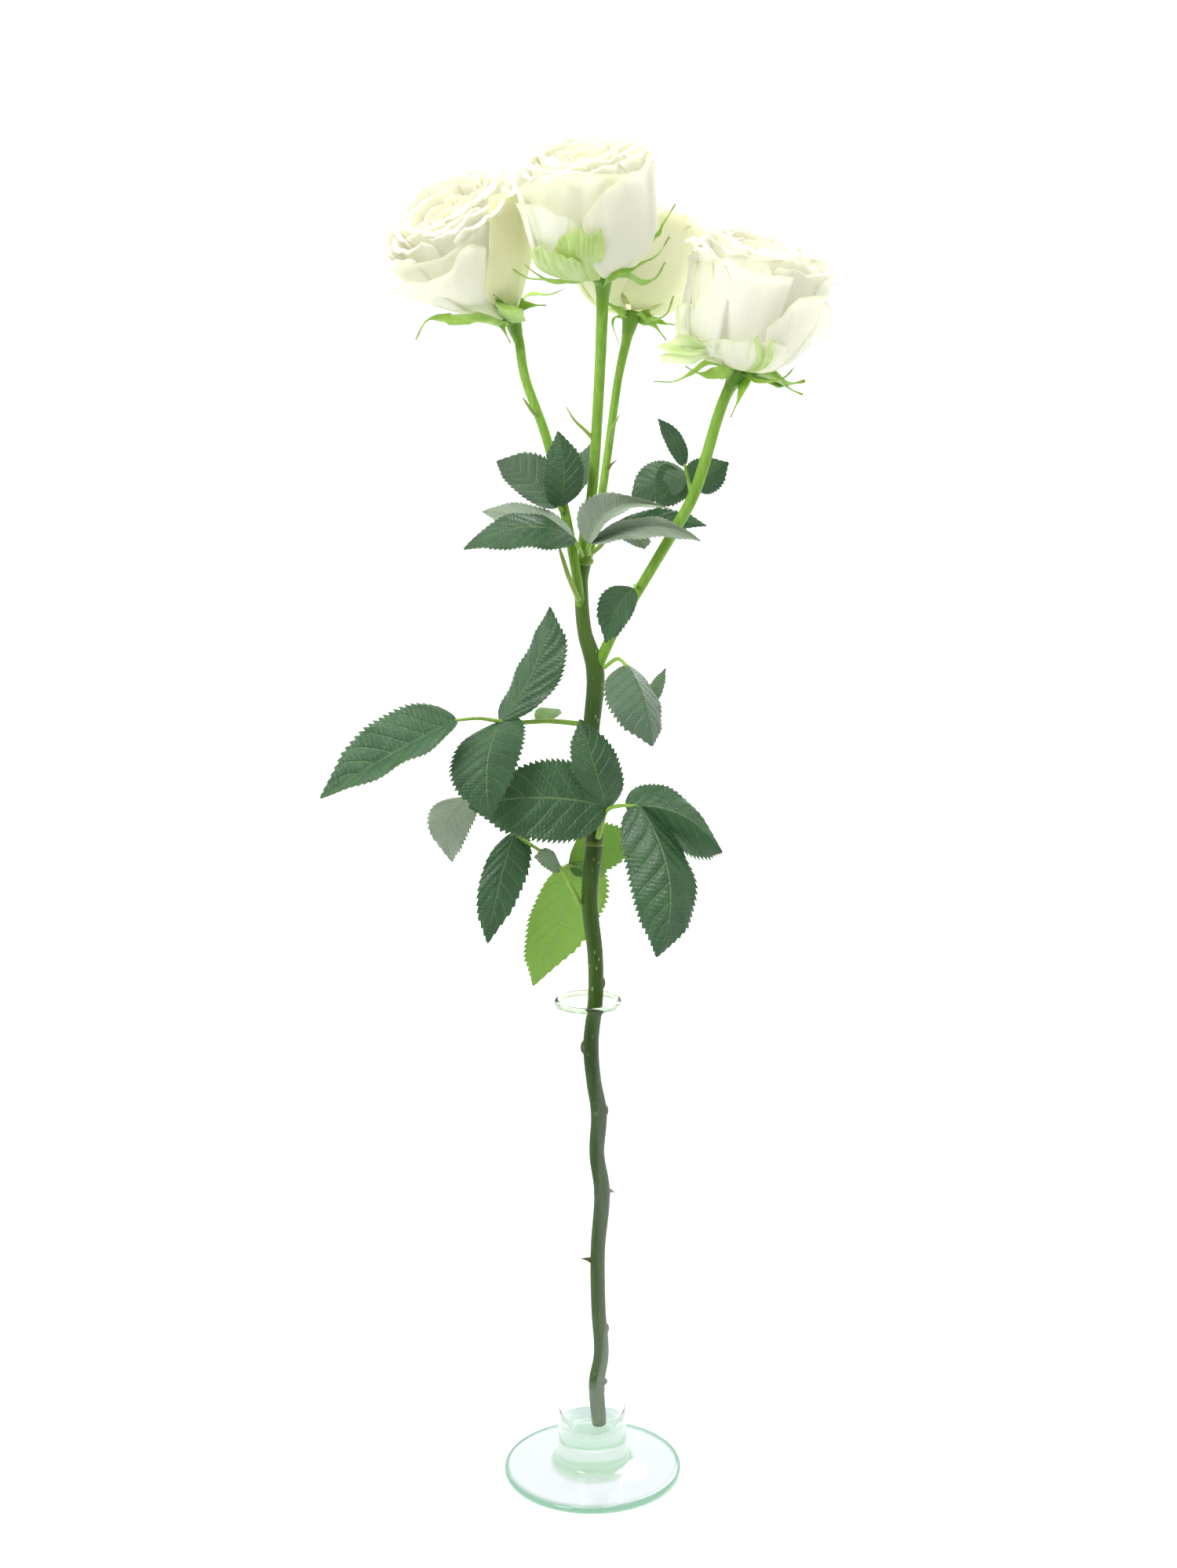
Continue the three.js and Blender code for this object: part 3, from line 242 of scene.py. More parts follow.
class Shape:
    """The points and faces of one piece, with the marks that its finish reads."""

    def __init__(self):
        self.points = []
        self.faces = []
        self.spots = []
        self.tones = []
        self.looks = []
        self.count = 0

    def add(self, points, faces, spots=(0.0, 0.0, 0.0), tones=(0.0, 0.0, 0.0, 0.0), look=0):
        points = np.asarray(points, float).reshape(-1, 3)
        self.points.append(points * MM)
        self.faces += [[corner + self.count for corner in face] for face in faces]
        self.spots.append(np.broadcast_to(np.asarray(spots, float), (len(points), 3)))
        self.tones.append(np.broadcast_to(np.asarray(tones, float), (len(points), 4)))
        self.looks += [look] * len(faces)
        self.count += len(points)

    def build(self, name, materials, slot, *nodes):
        mesh = bpy.data.meshes.new(name)
        mesh.from_pydata(np.vstack(self.points).tolist(), [], self.faces)
        for material in materials:
            mesh.materials.append(material)
        mesh.polygons.foreach_set("material_index", self.looks)
        mesh.polygons.foreach_set("use_smooth", [True] * len(self.faces))
        spot = mesh.attributes.new("spot", "FLOAT_VECTOR", "POINT")
        spot.data.foreach_set("vector", np.vstack(self.spots).ravel())
        tone = mesh.attributes.new("tone", "FLOAT_COLOR", "POINT")
        tone.data.foreach_set("color", np.vstack(self.tones).ravel())
        made = bpy.data.objects.new(name, mesh)
        bpy.context.scene.collection.objects.link(made)
        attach(made, "root")
        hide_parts(*nodes)


def ring_faces(rings, sides):
    """Quads between rings of points, closed round, with a face over each end."""
    faces = []
    for j in range(rings - 1):
        for i in range(sides):
            k = (i + 1) % sides
            faces.append((j * sides + i, j * sides + k, (j + 1) * sides + k, (j + 1) * sides + i))
    return [*faces, list(range(sides))[::-1], [(rings - 1) * sides + i for i in range(sides)]]


VASE_HEIGHT, FOOT_RADIUS, RIM_RADIUS, RIM_BEAD = 200.0, 36.0, 12.9, 1.0
TUBE_WALL, FLOOR, VASE_SIDES, VASE_FINENESS = 1.4, 17.5, 144, 7
rim_centre = RIM_RADIUS - TUBE_WALL / 2
vase_line = [
    (0.05, 0.0), (18.0, 0.0), (33.5, 0.0), (35.0, 0.25), (35.8, 0.9), (FOOT_RADIUS, 1.7), (35.7, 2.5),
    (34.9, 3.05), (33.4, 3.25), (26.0, 3.9), (19.5, 4.7), (16.4, 5.2), (14.7, 6.0), (14.0, 7.6),
    (13.9, 10.0), (13.75, 20.0), (13.45, 35.0), (13.3, 50.0), (13.2, 90.0), (13.0, 150.0),
    (RIM_RADIUS, 196.6), (RIM_RADIUS + 0.1, 197.8), (rim_centre + RIM_BEAD, 198.6),
    (rim_centre + 0.8, 199.5), (rim_centre, VASE_HEIGHT), (rim_centre - 0.8, 199.5),
    (rim_centre - RIM_BEAD, 198.6), (RIM_RADIUS - TUBE_WALL - 0.1, 197.8),
    (RIM_RADIUS - TUBE_WALL, 196.6), (11.6, 150.0), (11.8, 90.0), (11.9, 50.0), (12.15, 33.0),
    (12.0, 25.5), (11.0, 20.8), (8.6, 18.3), (4.5, FLOOR), (0.05, FLOOR),
]
profile = spline(vase_line, np.linspace(0, 1, len(vase_line) * VASE_FINENESS))
turns = np.linspace(0, 2 * math.pi, VASE_SIDES, endpoint=False)
profile = np.maximum(profile, 0.0)
vase = Shape()
vase.add(
    layers(profile[:, :1] * np.cos(turns), profile[:, :1] * np.sin(turns), profile[:, 1:]),
    ring_faces(len(profile), VASE_SIDES),
)

glass, mark = finish("vase_glass")
place = mark.node("ShaderNodeNewGeometry", {}, {}, out="Position")
height = place.part("Z")
radius = (place.part("X") ** 2.0 + place.part("Y") ** 2.0) ** 0.5
thick = (1.0 - height.rise(0.004, 0.03)) * (1.0 - radius.rise(0.0145, 0.018))
rim_of_foot = radius.rise(0.0325, 0.036)
lip = height.rise(0.1966, 0.1982)
waves = place.noise(28.0, 1.0, (1.0, 1.0, 0.25))
tint = thick.blend((0.905, 0.945, 0.960), (0.52, 0.75, 0.56))
tint = lip.blend(rim_of_foot.blend(tint, (0.10, 0.36, 0.17)), (0.52, 0.62, 0.46))
mark.node("ShaderNodeOutputMaterial", {}, {"Surface": mark.node("ShaderNodeBsdfPrincipled", {}, {
    "Base Color": tint,
    "Roughness": 0.0,
    "IOR": 1.5,
    "Transmission Weight": 1.0,
    "Normal": waves.bump(0.06, 0.002),
})})
vase.build("clear_vase", [glass], "glass", "glass_vase")


# The cane is cut from a bush, green to olive, with pale pores, a scar or bud at
# each joint and a few thorns. The flower stalks branch off its top.
CAP_RINGS, CAP_DOME = np.array([0.94, 0.75, 0.4]), 0.35


def tube(shape, points, radii, sides, steps, tone=(0.0, 0.0, 0.0, 0.0), look=0):
    """A round limb along the points, with rounded ends, in millimetres."""
    t = np.linspace(0, 1, steps + 1)
    centre = spline(points, t)
    radius = np.interp(t * (len(radii) - 1), np.arange(len(radii)), radii)
    tangent = unit(np.gradient(centre, axis=0))
    dome = CAP_DOME * np.sqrt(1 - CAP_RINGS ** 2)[:, None]
    centre = np.vstack([
        centre[0] - tangent[0] * radius[0] * dome[::-1], centre,
        centre[-1] + tangent[-1] * radius[-1] * dome,
    ])
    radius = np.concatenate([radius[0] * CAP_RINGS[::-1], radius, radius[-1] * CAP_RINGS])
    tangent = np.pad(tangent, ((len(CAP_RINGS), len(CAP_RINGS)), (0, 0)), "edge")
    side = np.array([1.0, 0.0, 0.0] if abs(tangent[0][0]) < 0.8 else [0.0, 1.0, 0.0])
    angle = np.linspace(0, 2 * math.pi, sides, endpoint=False)
    rings = []
    for middle, way, wide in zip(centre, tangent, radius):
        side = unit(side - way * side.dot(way))
        circle = np.outer(np.cos(angle), side) + np.outer(np.sin(angle), np.cross(way, side))
        rings.append(middle + wide * circle)
    shape.add(rings, ring_faces(len(rings), sides), tones=tone, look=look)


def knob(shape, centre, radius, height, tone):
    """A rounded bump: a resting bud, a healed scar or the collar of a joint."""
    x, y, z = centre
    ladder = np.linspace(-1, 1, 9)
    points = [(x, y, z + height * k) for k in ladder]
    wide = [max(radius * math.sqrt(max(1 - k * k, 0.0)), 0.15) for k in ladder]
    tube(shape, points, wide, 20, 24, tone)


FLOWERS = {
    "left": dict(
        hip=(-27, 20, 461), axis=(-0.44, -0.42, 0.79), lean=(-0.28, 0.14, 0.95),
        reach=26.5, height=54, belly=-0.4, spin=20, heart=0.85, outer=(0, 48, 96, 140, 178, 322),
    ),
    "top": dict(
        hip=(7.5, -12, 474.5), axis=(-0.15, -0.35, 0.92), lean=(0.03, -0.23, 0.97),
        reach=23.2, height=47, belly=1.0, spin=75, heart=0.93, outer=(18, 65, 112, 158),
    ),
    "right": dict(
        hip=(57.5, 2, 441), axis=(0.24, -0.2, 0.95), lean=(0.45, -0.04, 0.89),
        reach=25.3, height=47, belly=1.0, spin=40, heart=0.94, outer=(18, 65, 112, 158, 194),
    ),
    "back": dict(
        hip=(19, 38, 461.5), axis=(0.12, 0.28, 0.95), lean=(0.2, 0.28, 0.94),
        reach=23, height=39, belly=1.0, spin=0, heart=0.9, outer=(0, 72, 144, 216, 288),
    ),
}
HIP_NECK, HIP_TAPER, STALK_STRAIGHT, STALK_GAP = 3.0, 5.0, 3.0, 0.1


def hip_line(flower):
    """The curve of a hip, from its foot up to the seat of the petals."""
    axis = Vector(flower["axis"]).normalized()
    neck = Vector(flower["hip"]) - axis * HIP_NECK
    foot = neck - Vector(flower["lean"]).normalized() * HIP_TAPER
    return [tuple(foot), tuple(neck), flower["hip"]]


def stalk_end(flower):
    """The last two points of the stalk under a hip."""
    lean = Vector(flower["lean"]).normalized()
    end = Vector(hip_line(flower)[0]) - lean * STALK_GAP
    return [tuple(end - lean * STALK_STRAIGHT), tuple(end)]


# The tone of a limb tells how scarred, how fresh and how pale its bark is.
SCAR, FRESH, BRACT = (1.0, 0.0, 0.0, 0.0), (0.0, 1.0, 0.0, 0.0), (0.15, 1.0, 0.6, 0.0)
CANE_LINE = [
    (3, 2, 18.3), (2, 2, 37), (4, 2, 50), (3, 3, 70), (3, 4, 94), (5, 5, 118), (3, 6, 134),
    (4, 6, 151), (2, 7, 164), (1, 7, 179), (3, 7.2, 199), (3, 8.5, 215), (1, 10, 238), (3, 11, 261),
    (2, 12, 300), (4, 13, 327), (0, 13, 343), (-1, 13, 362), (0, 13, 370),
]
CANE_RADII = [
    3.0, 3.3, 3.1, 3.0, 3.0, 3.4, 3.1, 3.4, 3.1, 3.2, 3.0, 3.1, 3.2, 3.5, 3.2, 3.6, 2.8, 2.6, 3.2,
]
cane = Shape()
tube(cane, CANE_LINE, CANE_RADII, 32, 220)
for stalk_line, stalk_radii in (
    ([(-1, 13, 350), (-3, 8, 366), (-7, 6, 389), (-13.5, 9, 416), (-21.5, 15, 439),
      *stalk_end(FLOWERS["left"])], [1.8, 1.9, 1.9, 1.8, 1.8, 1.9, 2.2]),
    ([(0, 13, 366), (0, 12, 377), (3, 7, 393), (6.5, -3, 439),
      *stalk_end(FLOWERS["top"])], [1.8, 2.0, 2.0, 2.0, 2.2, 2.3]),
    ([(1, 14, 366), (4, 18, 380), (7, 22, 393), (14, 31, 438),
      *stalk_end(FLOWERS["back"])], [1.4, 1.6, 1.6, 1.6, 1.9, 2.2]),
    ([(4, 13, 327), (12, 11, 344), (21, 9, 359), (34, 6, 381), (41.5, 4, 395), (50.5, 3, 424),
      *stalk_end(FLOWERS["right"])], [2.2, 2.1, 2.0, 2.1, 2.2, 2.1, 2.1, 2.3]),
):
    tube(cane, stalk_line, stalk_radii, 20, 90, FRESH)
for thorn_line, thorn_root in (
    ([(1, 3.5, 89.5), (-1.5, 2.6, 90.6), (-3.8, 2, 91)], 1.5),
    ([(6, 5, 119), (8.6, 4.4, 118.9), (10.4, 4, 118)], 1.5),
    ([(9, 24, 403), (11.2, 22, 405.6), (13, 20, 407)], 0.9),
):
    tube(cane, thorn_line, [thorn_root, thorn_root * 0.45, 0.12], 14, 12, SCAR)
for centre, radius, height, tone in (
    ((5.6, 2, 61), 1.8, 2.5, SCAR), ((6.2, 6, 152), 1.8, 2.7, SCAR), ((-1.4, 7, 178), 1.9, 3.1, SCAR),
    ((5, 8, 204), 2.0, 2.9, SCAR), ((3, 11, 260), 3.95, 2.3, (0.35, 0.4, 0.0, 0.0)),
    ((0, 13, 369.5), 3.85, 2.5, (0.2, 0.8, 0.0, 0.0)), ((3, 2, 38), 3.5, 1.6, (0.3, 0.0, 0.0, 0.0)),
    ((5, 5, 118), 3.6, 2.0, (0.5, 0.0, 0.0, 0.0)), ((4, 1.2, 35), 1.4, 1.2, SCAR),
):
    knob(cane, centre, radius, height, tone)
for bract_line, bract_radii in (
    ([(-15.6, 11, 423), (-18.5, 8, 426), (-22, 4, 431)], [1.0, 0.9, 0.25]),
    ([(4.8, 2, 415), (1, 0, 419), (-3, -2, 423), (-6, -4, 428)], [0.9, 0.7, 0.5, 0.15]),
    ([(10.2, 26, 412), (11, 22, 418), (14, 18, 424)], [0.9, 0.7, 0.2]),
    ([(-2, 9, 355), (-5.5, 3, 364), (-8, 1, 372), (-9.5, 1, 377)], [1.1, 1.0, 0.8, 0.3]),
    ([(1, 13, 371), (6, 10, 375), (10, 8, 379)], [1.1, 0.9, 0.3]),
):
    tube(cane, bract_line, bract_radii, 12, 20, BRACT)

bark, mark = finish("rose_bark")
place = mark.node("ShaderNodeNewGeometry", {}, {}, out="Position")
tone = mark.node("ShaderNodeAttribute", {"attribute_name": "tone"}, {}, out="Color")
scar, fresh, pale = tone.part("X"), tone.part("Y"), tone.part("Z")
streaks = place.noise(700.0, 3.0, (1.0, 1.0, 0.06))
patches = place.noise(90.0, 3.0, (1.0, 1.0, 0.5))
low, high = 1.0 - place.part("Z").rise(0.06, 0.36), place.part("Z").rise(0.285, 0.355)
pores = place.times((1.0, 1.0, 0.45)).cells("F1", 420.0)
pore = (1.0 - pores.rise(0.10, 0.20)) * patches.rise(0.45, 0.6)
green = low.blend((0.015, 0.050, 0.005), (0.050, 0.105, 0.006))
ridges = streaks.rise(0.3, 0.75)
green = (ridges * 0.55).blend(green, low.blend((0.045, 0.105, 0.016), (0.110, 0.185, 0.018)))
green = (high * (0.4 + streaks * 0.4)).blend(green, (0.150, 0.260, 0.050))
green = (fresh * 0.85).blend(green, ridges.blend((0.180, 0.370, 0.030), (0.270, 0.480, 0.060)))
green = (pale * 0.7).blend(green, (0.42, 0.54, 0.16))
green = (scar * patches.rise(0.3, 0.6)).blend(green, (0.17, 0.12, 0.045))
green = (pore * (1.0 - fresh * 0.6) * 0.75).blend(green, (0.36, 0.42, 0.24))
mark.node("ShaderNodeOutputMaterial", {}, {"Surface": mark.node("ShaderNodeBsdfPrincipled", {}, {
    "Base Color": green,
    "Roughness": 0.38 + patches * 0.25,
    "Specular IOR Level": 0.3,
    "Subsurface Weight": 0.15,
    "Subsurface Scale": 0.002,
    "Normal": (streaks * 0.6 + pore + patches * 0.5).bump(0.35, 0.0004),
})})
cane.build("green_cane", [bark], "stem", "stem")


# The leaves are compound: leaflets with a sawtooth edge on a thin stalk. They
# are waxy dark green above and a dull pale green below, with pale veins.
def lattice(rows, columns):
    """The places of a sheet: across from -1 to 1 and along from 0 to 1."""
    return np.linspace(-1, 1, columns)[None, :], np.linspace(0, 1, rows)[:, None]


def facing(grid):
    """The way that a sheet faces at each of its points."""
    return unit(np.cross(np.gradient(grid, axis=1), np.gradient(grid, axis=0)))


def shell(shape, grid, thickness, spots, tones, sided=False):
    """A thin closed blade about a grid of middle points, in millimetres."""
    rows, columns = grid.shape[:2]
    half = facing(grid) * np.asarray(thickness)[..., None] / 2
    index = np.arange(rows * columns).reshape(rows, columns)
    front = layers(index[:-1, :-1], index[:-1, 1:], index[1:, 1:], index[1:, :-1]).reshape(-1, 4)
    total = rows * columns
    rim = np.concatenate([index[0, :-1], index[:-1, -1], index[-1, :0:-1], index[:0:-1, 0]])
    after = np.roll(rim, -1)
    walls = np.stack([rim, rim + total, after + total, after], axis=1)
    faces = np.vstack([front, front[:, ::-1] + total, walls])
    upper, under = spots.reshape(-1, 3).copy(), spots.reshape(-1, 3).copy()
    if sided:
        upper[:, 2], under[:, 2] = 1.0, 0.0
    shape.add(
        np.concatenate([(grid + half).reshape(-1, 3), (grid - half).reshape(-1, 3)]),
        faces.tolist(), np.vstack([upper, under]), tones,
    )


VEIN_PAIRS, VEIN_RAKE, BLADE_COLUMNS, ROWS_PER_TOOTH = 8.0, 0.24, 25, 5
OUTLINE_PEAK, POINT_FROM, POINT_PINCH, LEAST_WIDTH = 0.455, 0.76, 0.45, 0.015
TOOTH_RISE, TOOTH_DEPTH, TOOTH_SWEEP = 0.8, 0.11, 0.22
PUFF_HEIGHT, RIPPLE_HEIGHT, USUAL_LENGTH = 0.42, 0.55, 40
BLADE_THICK, EDGE_THINNING, MIDRIB_THICK, MIDRIB_WIDTH = 0.34, 0.14, 0.35, 0.05


def leaflet(shape, base, mid, tip, left, right, teeth, young, dull_and_sheen):
    """One leaflet. The midrib runs base, mid, tip; left and right reach to its edges."""
    base, mid, tip, left, right = (np.array(v, float) for v in (base, mid, tip, left, right))
    u, v = lattice(teeth * ROWS_PER_TOOTH + 1, BLADE_COLUMNS)
    aside = np.abs(u)
    control = 2 * mid - (base + tip) / 2
    rib = (1 - v) ** 2 * base + 2 * v * (1 - v) * control + v ** 2 * tip
    way = 2 * (1 - v) * (control - base) + 2 * v * (tip - control)
    point = 1 - POINT_PINCH * np.clip((v - POINT_FROM) / (1 - POINT_FROM), 0, 1)
    outline = np.maximum(v ** 0.5 * (1 - v) ** 0.75 / OUTLINE_PEAK * point, LEAST_WIDTH)
    saw = (v * teeth) % 1.0
    saw = np.where(saw < TOOTH_RISE, saw / TOOTH_RISE, (1 - saw) / (1 - TOOTH_RISE))
    edge = aside ** 10
    width = aside * outline * (1 + edge * (saw - 0.5) * TOOTH_DEPTH)
    side = np.where(u < 0, 1.0, 0.0)[..., None]
    grid = rib[:, None, :] + width[..., None] * (side * left + (1 - side) * right)
    grid += (edge * saw * (outline > 0.05))[..., None] * way[:, None, :] * (TOOTH_SWEEP / teeth)
    phase = (v - VEIN_RAKE * aside) * VEIN_PAIRS
    puff = np.abs(np.sin(math.pi * phase)) ** 0.6 * (1 - aside ** 4)
    puff = puff * (0.25 + 0.75 * np.minimum(aside * 6, 1))
    ripple = np.sin(phase * 2.1 + u * 2) * aside ** 3
    scale = np.linalg.norm(tip - base) / USUAL_LENGTH
    grid += facing(grid) * (scale * outline * (PUFF_HEIGHT * puff + RIPPLE_HEIGHT * ripple))[..., None]
    rib_thick = MIDRIB_THICK * np.exp(-(u / MIDRIB_WIDTH) ** 2) * (1 - v * 0.7)
    shade = 0.5 + 0.5 * math.sin(base[0] * 1.7 + tip[2] * 2.3)
    shell(shape, grid, BLADE_THICK - EDGE_THINNING * aside ** 3 + rib_thick, layers(u, v, 0.0),
          (young, dull_and_sheen, shade, 0.0), sided=True)


def marks_of(mark):
    """Where a point is, and the spot and the tone that its piece gave it."""
    return (mark.node("ShaderNodeNewGeometry", {}, {}, out="Position"),
            mark.node("ShaderNodeAttribute", {"attribute_name": "spot"}, {}, out="Vector"),
            mark.node("ShaderNodeAttribute", {"attribute_name": "tone"}, {}, out="Color"))


def let_light_through(mark, share, colour, coats, relief, skin):
    """Ends a finish of which a share is lit from behind, in a colour under coats of others."""
    flesh = mark.node("ShaderNodeBsdfPrincipled", {}, {**skin, "Normal": relief})
    glow = mark.node("ShaderNodeBsdfTranslucent", {}, {"Color": colour, "Normal": relief})
    for part, colour in coats:
        coat = mark.node("ShaderNodeBsdfTranslucent", {}, {"Color": colour, "Normal": relief})
        glow = mark.node("ShaderNodeMixShader", {}, {0: part, 1: glow, 2: coat})
    surface = mark.node("ShaderNodeMixShader", {}, {0: share, 1: flesh, 2: glow})
    mark.node("ShaderNodeOutputMaterial", {}, {"Surface": surface})


blade_finish, mark = finish("rose_leaf")
place, spot, tone = marks_of(mark)
aside, along, upper = abs(spot.part("X")), spot.part("Y"), spot.part("Z").rise(0.3, 0.7)
young, dull_and_sheen, shade = tone.part("X"), tone.part("Y"), tone.part("Z")
wander = place.noise(260.0, 2.0) * 0.16
phase = (along - aside * VEIN_RAKE) * VEIN_PAIRS + wander
vein = (1.0 - mark.maths("PINGPONG", phase, 0.5).rise(0.015, 0.10)) * (1.0 - aside.rise(0.6, 0.98))
small_vein = 1.0 - mark.maths("PINGPONG", phase * 4.0 + aside * 9.0, 0.5).rise(0.05, 0.3)
midrib = 1.0 - aside.rise(0.008, 0.036)
netting = 1.0 - place.cells("DISTANCE_TO_EDGE", 850.0).rise(0.02, 0.14)
mottle = place.noise(120.0, 4.0)
top = mottle.rise(0.3, 0.75).blend((0.028, 0.094, 0.034), (0.055, 0.150, 0.052))
top = (young * 0.9).blend(top, (0.21, 0.37, 0.09))
# Dull leaflets turn a pale grey-green, above and below. This is partly dullness and partly a painted sheen
# of light on the wax.
top = (dull_and_sheen * 0.8).blend(top, (0.36, 0.47, 0.35))
top = (shade * 0.25).blend(top, (0.045, 0.135, 0.065))
top = (netting * 0.20 + small_vein * 0.14).blend(top, (0.11, 0.21, 0.09))
top = mark.maths("MAXIMUM", vein * 0.24, midrib * 0.6).blend(top, (0.24, 0.38, 0.15))
below = mottle.rise(0.3, 0.75).blend((0.190, 0.290, 0.165), (0.255, 0.365, 0.225))
below = (young * 0.85).blend(below, (0.36, 0.58, 0.12))
below = (dull_and_sheen * 0.8).blend(below, (0.52, 0.60, 0.48))
below = (netting * 0.25).blend(below, (0.19, 0.30, 0.17))
below = mark.maths("MAXIMUM", vein * 0.5, midrib * 0.8).blend(below, (0.44, 0.54, 0.33))
colour = upper.blend(below, top)
colour = (aside.rise(0.955, 1.0) * 0.5).blend(colour, (0.33, 0.42, 0.16))
sunk = vein + midrib * 1.5 + netting * 0.35 + small_vein * 0.3
relief = (mottle * 0.4 - sunk).bump(0.6, 0.00035)
let_light_through(mark, 0.22 + young * 0.3, (0.08, 0.22, 0.03), ((young, (0.42, 0.62, 0.16)),), relief, {
    "Base Color": colour, "Roughness": 0.55 - upper * 0.31 + mottle * 0.16, "Specular IOR Level": 0.55,
})

# A leaf has its stalks, with their radii at both ends, and its leaflets: the
# base, middle and tip of the midrib, the reach to both edges, the number of
# teeth, how young it is, and how dull it is, which is partly a painted sheen.
LEAVES = {
    "leaf_low_left": ((
        ([(-2.8, 9, 236), (-6.5, 7, 244), (-10, 6, 251), (-18, 10, 257), (-28, 14, 263), (-38, 18, 270),
          (-46, 22, 275)], 1.0, 0.5),
        ([(-10, 6.5, 250), (-7, 14, 250), (-4, 17, 249)], 0.8, 0.5),
    ), (
        ((-28, 14, 264), (-34, 8, 245), (-39, 6, 221), (11, 2, 1), (-9, 0, -2), 15, 0, 0),
        ((-10, 6.5, 251), (-14, 1, 256), (-20, -4, 258), (-1, 2, 4), (-1, 1, -5), 9, 0, 0),
        ((-5, 16, 251), (-11, 24, 224), (-22, 28, 197), (-14, -2, -1), (18, 2, 4), 24, 1.0, 0),
        ((-7, 16, 251), (5, 24, 254), (21, 30, 254), (1, 4, 11), (0, -2, -10), 15, 1.0, 0),
        ((-45, 22, 276), (-54, 19, 267), (-53, 18, 251), (-9, 1, 2), (8, -3, -5), 15, 0.1, 1.0),
    )),
    "leaf_low_right": ((
        ([(4.5, 6.6, 263), (6, 4, 269), (8, 1, 275), (14, -5, 278), (20, -9, 278.5)], 1.2, 0.6),
    ), (
        ((8, 1, 276), (-17, -3, 281), (-45, 0, 277), (-2, -5, -17), (2, 4, 15), 26, 0, 0),
        ((8, 0, 276), (3, -5, 294), (-2, -2, 311), (-9, 2, -1), (10, 4, 2), 18, 0, 0),
        ((15, -6, 278), (35, -14, 277), (51, -20, 263), (-2, 7, 8), (4, 5, -19), 22, 0, 0),
        ((20, -9, 279), (31, -24, 252), (26, -26, 224), (11, 6, -5), (-16, 4, -1), 25, 0, 0),
    )),
    "leaf_middle_left": ((
        ([(-0.9, 10.3, 307), (-14, 6, 309), (-26, 3, 309), (-32, 0, 310), (-40, -4, 312),
          (-49, -8, 312)], 1.1, 0.6),
    ), (
        ((-48, -8, 312), (-72, -17, 301), (-98, -30, 287), (3, -14, -3), (-8, 7, 12), 26, 0, 0),
        ((-32, 0, 310), (-19, 2, 330), (-13, 6, 353), (-6, 10, 1), (12, -4, 0), 24, 0, 0),
        ((-32, 0, 310), (-37, -13, 296), (-36, -16, 276), (14, 5, 5), (-15, 0, -3), 20, 0, 0),
        ((-16, 5.5, 309), (-15, 16, 311), (-18, 25, 311), (-5, 0, -1), (6, 2, 0), 10, 0.9, 0),
    )),
    "leaf_middle_right": ((
        ([(7.6, 10.2, 329), (12, 4, 333), (14, -1, 333), (16, -5, 331), (21, 0, 322),
          (26, 4, 317)], 0.9, 0.5),
    ), (
        ((16, -4, 332), (22, -15, 320), (25, -17, 303), (7, 11, -5), (-14, -2, -3), 18, 0, 0.45),
        ((25, 3, 317), (27, 8, 322), (31, 12, 328), (-3, 2, -1), (3, -1, -2), 8, 0.3, 0.5),
    )),
    "leaf_small_right": ((
        ([(19.4, 7.2, 360.5), (19.5, 4, 361), (19, 1, 360)], 0.8, 0.5),
    ), (
        ((19, 1.5, 360), (12, -4, 353), (8, -8, 341), (4, -2, -6), (-7, -1, 4), 12, 0, 0),
    )),
    "leaf_top_left": ((
        ([(-0.5, 8.4, 372), (-2, 2, 376), (-4, -1, 380)], 1.0, 0.6),
    ), (
        ((-3, -1, 379), (-22, -8, 384), (-44, -16, 377), (0, -13, -7), (-3, 10, 5), 24, 0, 0),
        ((-4, -1, 380), (-22, 3, 387), (-38, 6, 389), (2, 3, 5), (-1, -2, -6), 20, 0, 0.8),
    )),
    "leaf_top_centre": ((
        ([(-8, 3.5, 389), (-8.8, 1.5, 391), (-9, 1.5, 393)], 0.9, 0.7),
        ([(-9, 2, 392), (-11.5, 8, 393), (-8, 14, 393)], 0.7, 0.5),
    ), (
        ((-9, 2, 391), (-21, 2, 402), (-32, 0, 408), (-5, -1, -5), (7, 1, 8), 16, 0, 0.45),
        ((-8.8, 1, 391), (-7, -5, 404), (-9, -4, 419), (-8, 2, 0), (8, 2, 1), 18, 0, 0),
        ((-8, 14, 392.5), (-1, 19, 403), (3, 22, 413), (-5, 0, 1), (5, 1, -1), 12, 0, 0.6),
    )),
    "leaf_top_right": ((
        ([(1.8, 8.8, 372.5), (2, 4, 376), (4, 1, 379)], 1.1, 0.8),
        ([(3, 2, 378), (9, 5, 381), (14, 9, 381)], 0.7, 0.5),
    ), (
        ((2, 2, 377), (13, -3, 391), (33, -8, 390), (2, -11, -1), (-9, -3, 5), 18, 0, 1.0),
        ((3, 1, 378), (24, -6, 384), (43, -14, 379), (-1, -7, -4), (0, -5, 4), 22, 0, 0.9),
        ((9, 4, 381), (29, 15, 384), (47, 17, 382), (1, 3, 5), (0, 0, -4), 18, 0, 0),
        ((13, 8, 381), (20, 12, 378), (23, 12, 374), (-3, 0, -2), (5, 2, 0), 8, 0, 0.7),
    )),
    "leaf_side_spray": ((
        ([(40.4, 7.2, 396), (39.5, 8.5, 400), (38, 6, 406)], 0.9, 0.5),
    ), (
        ((38.2, 6.3, 405.4), (34, 3, 415), (28, 0, 423), (-3, 1, -2), (3, 1, 2), 12, 0, 0),
        ((39.5, 8.4, 400.3), (34, 12, 398), (28, 12, 389), (5, 2, -6), (-6, 1, 7), 14, 0, 0),
        ((39.1, 7.8, 401.7), (27, 14, 399), (18, 15, 392), (2, 1, -8), (-3, 2, 7), 16, 0, 0.3),
        ((39.7, 8.2, 399.2), (47, 13, 402), (55, 14, 406), (-4, 2, 6), (4, 1, -7), 14, 0, 0),
    )),
}
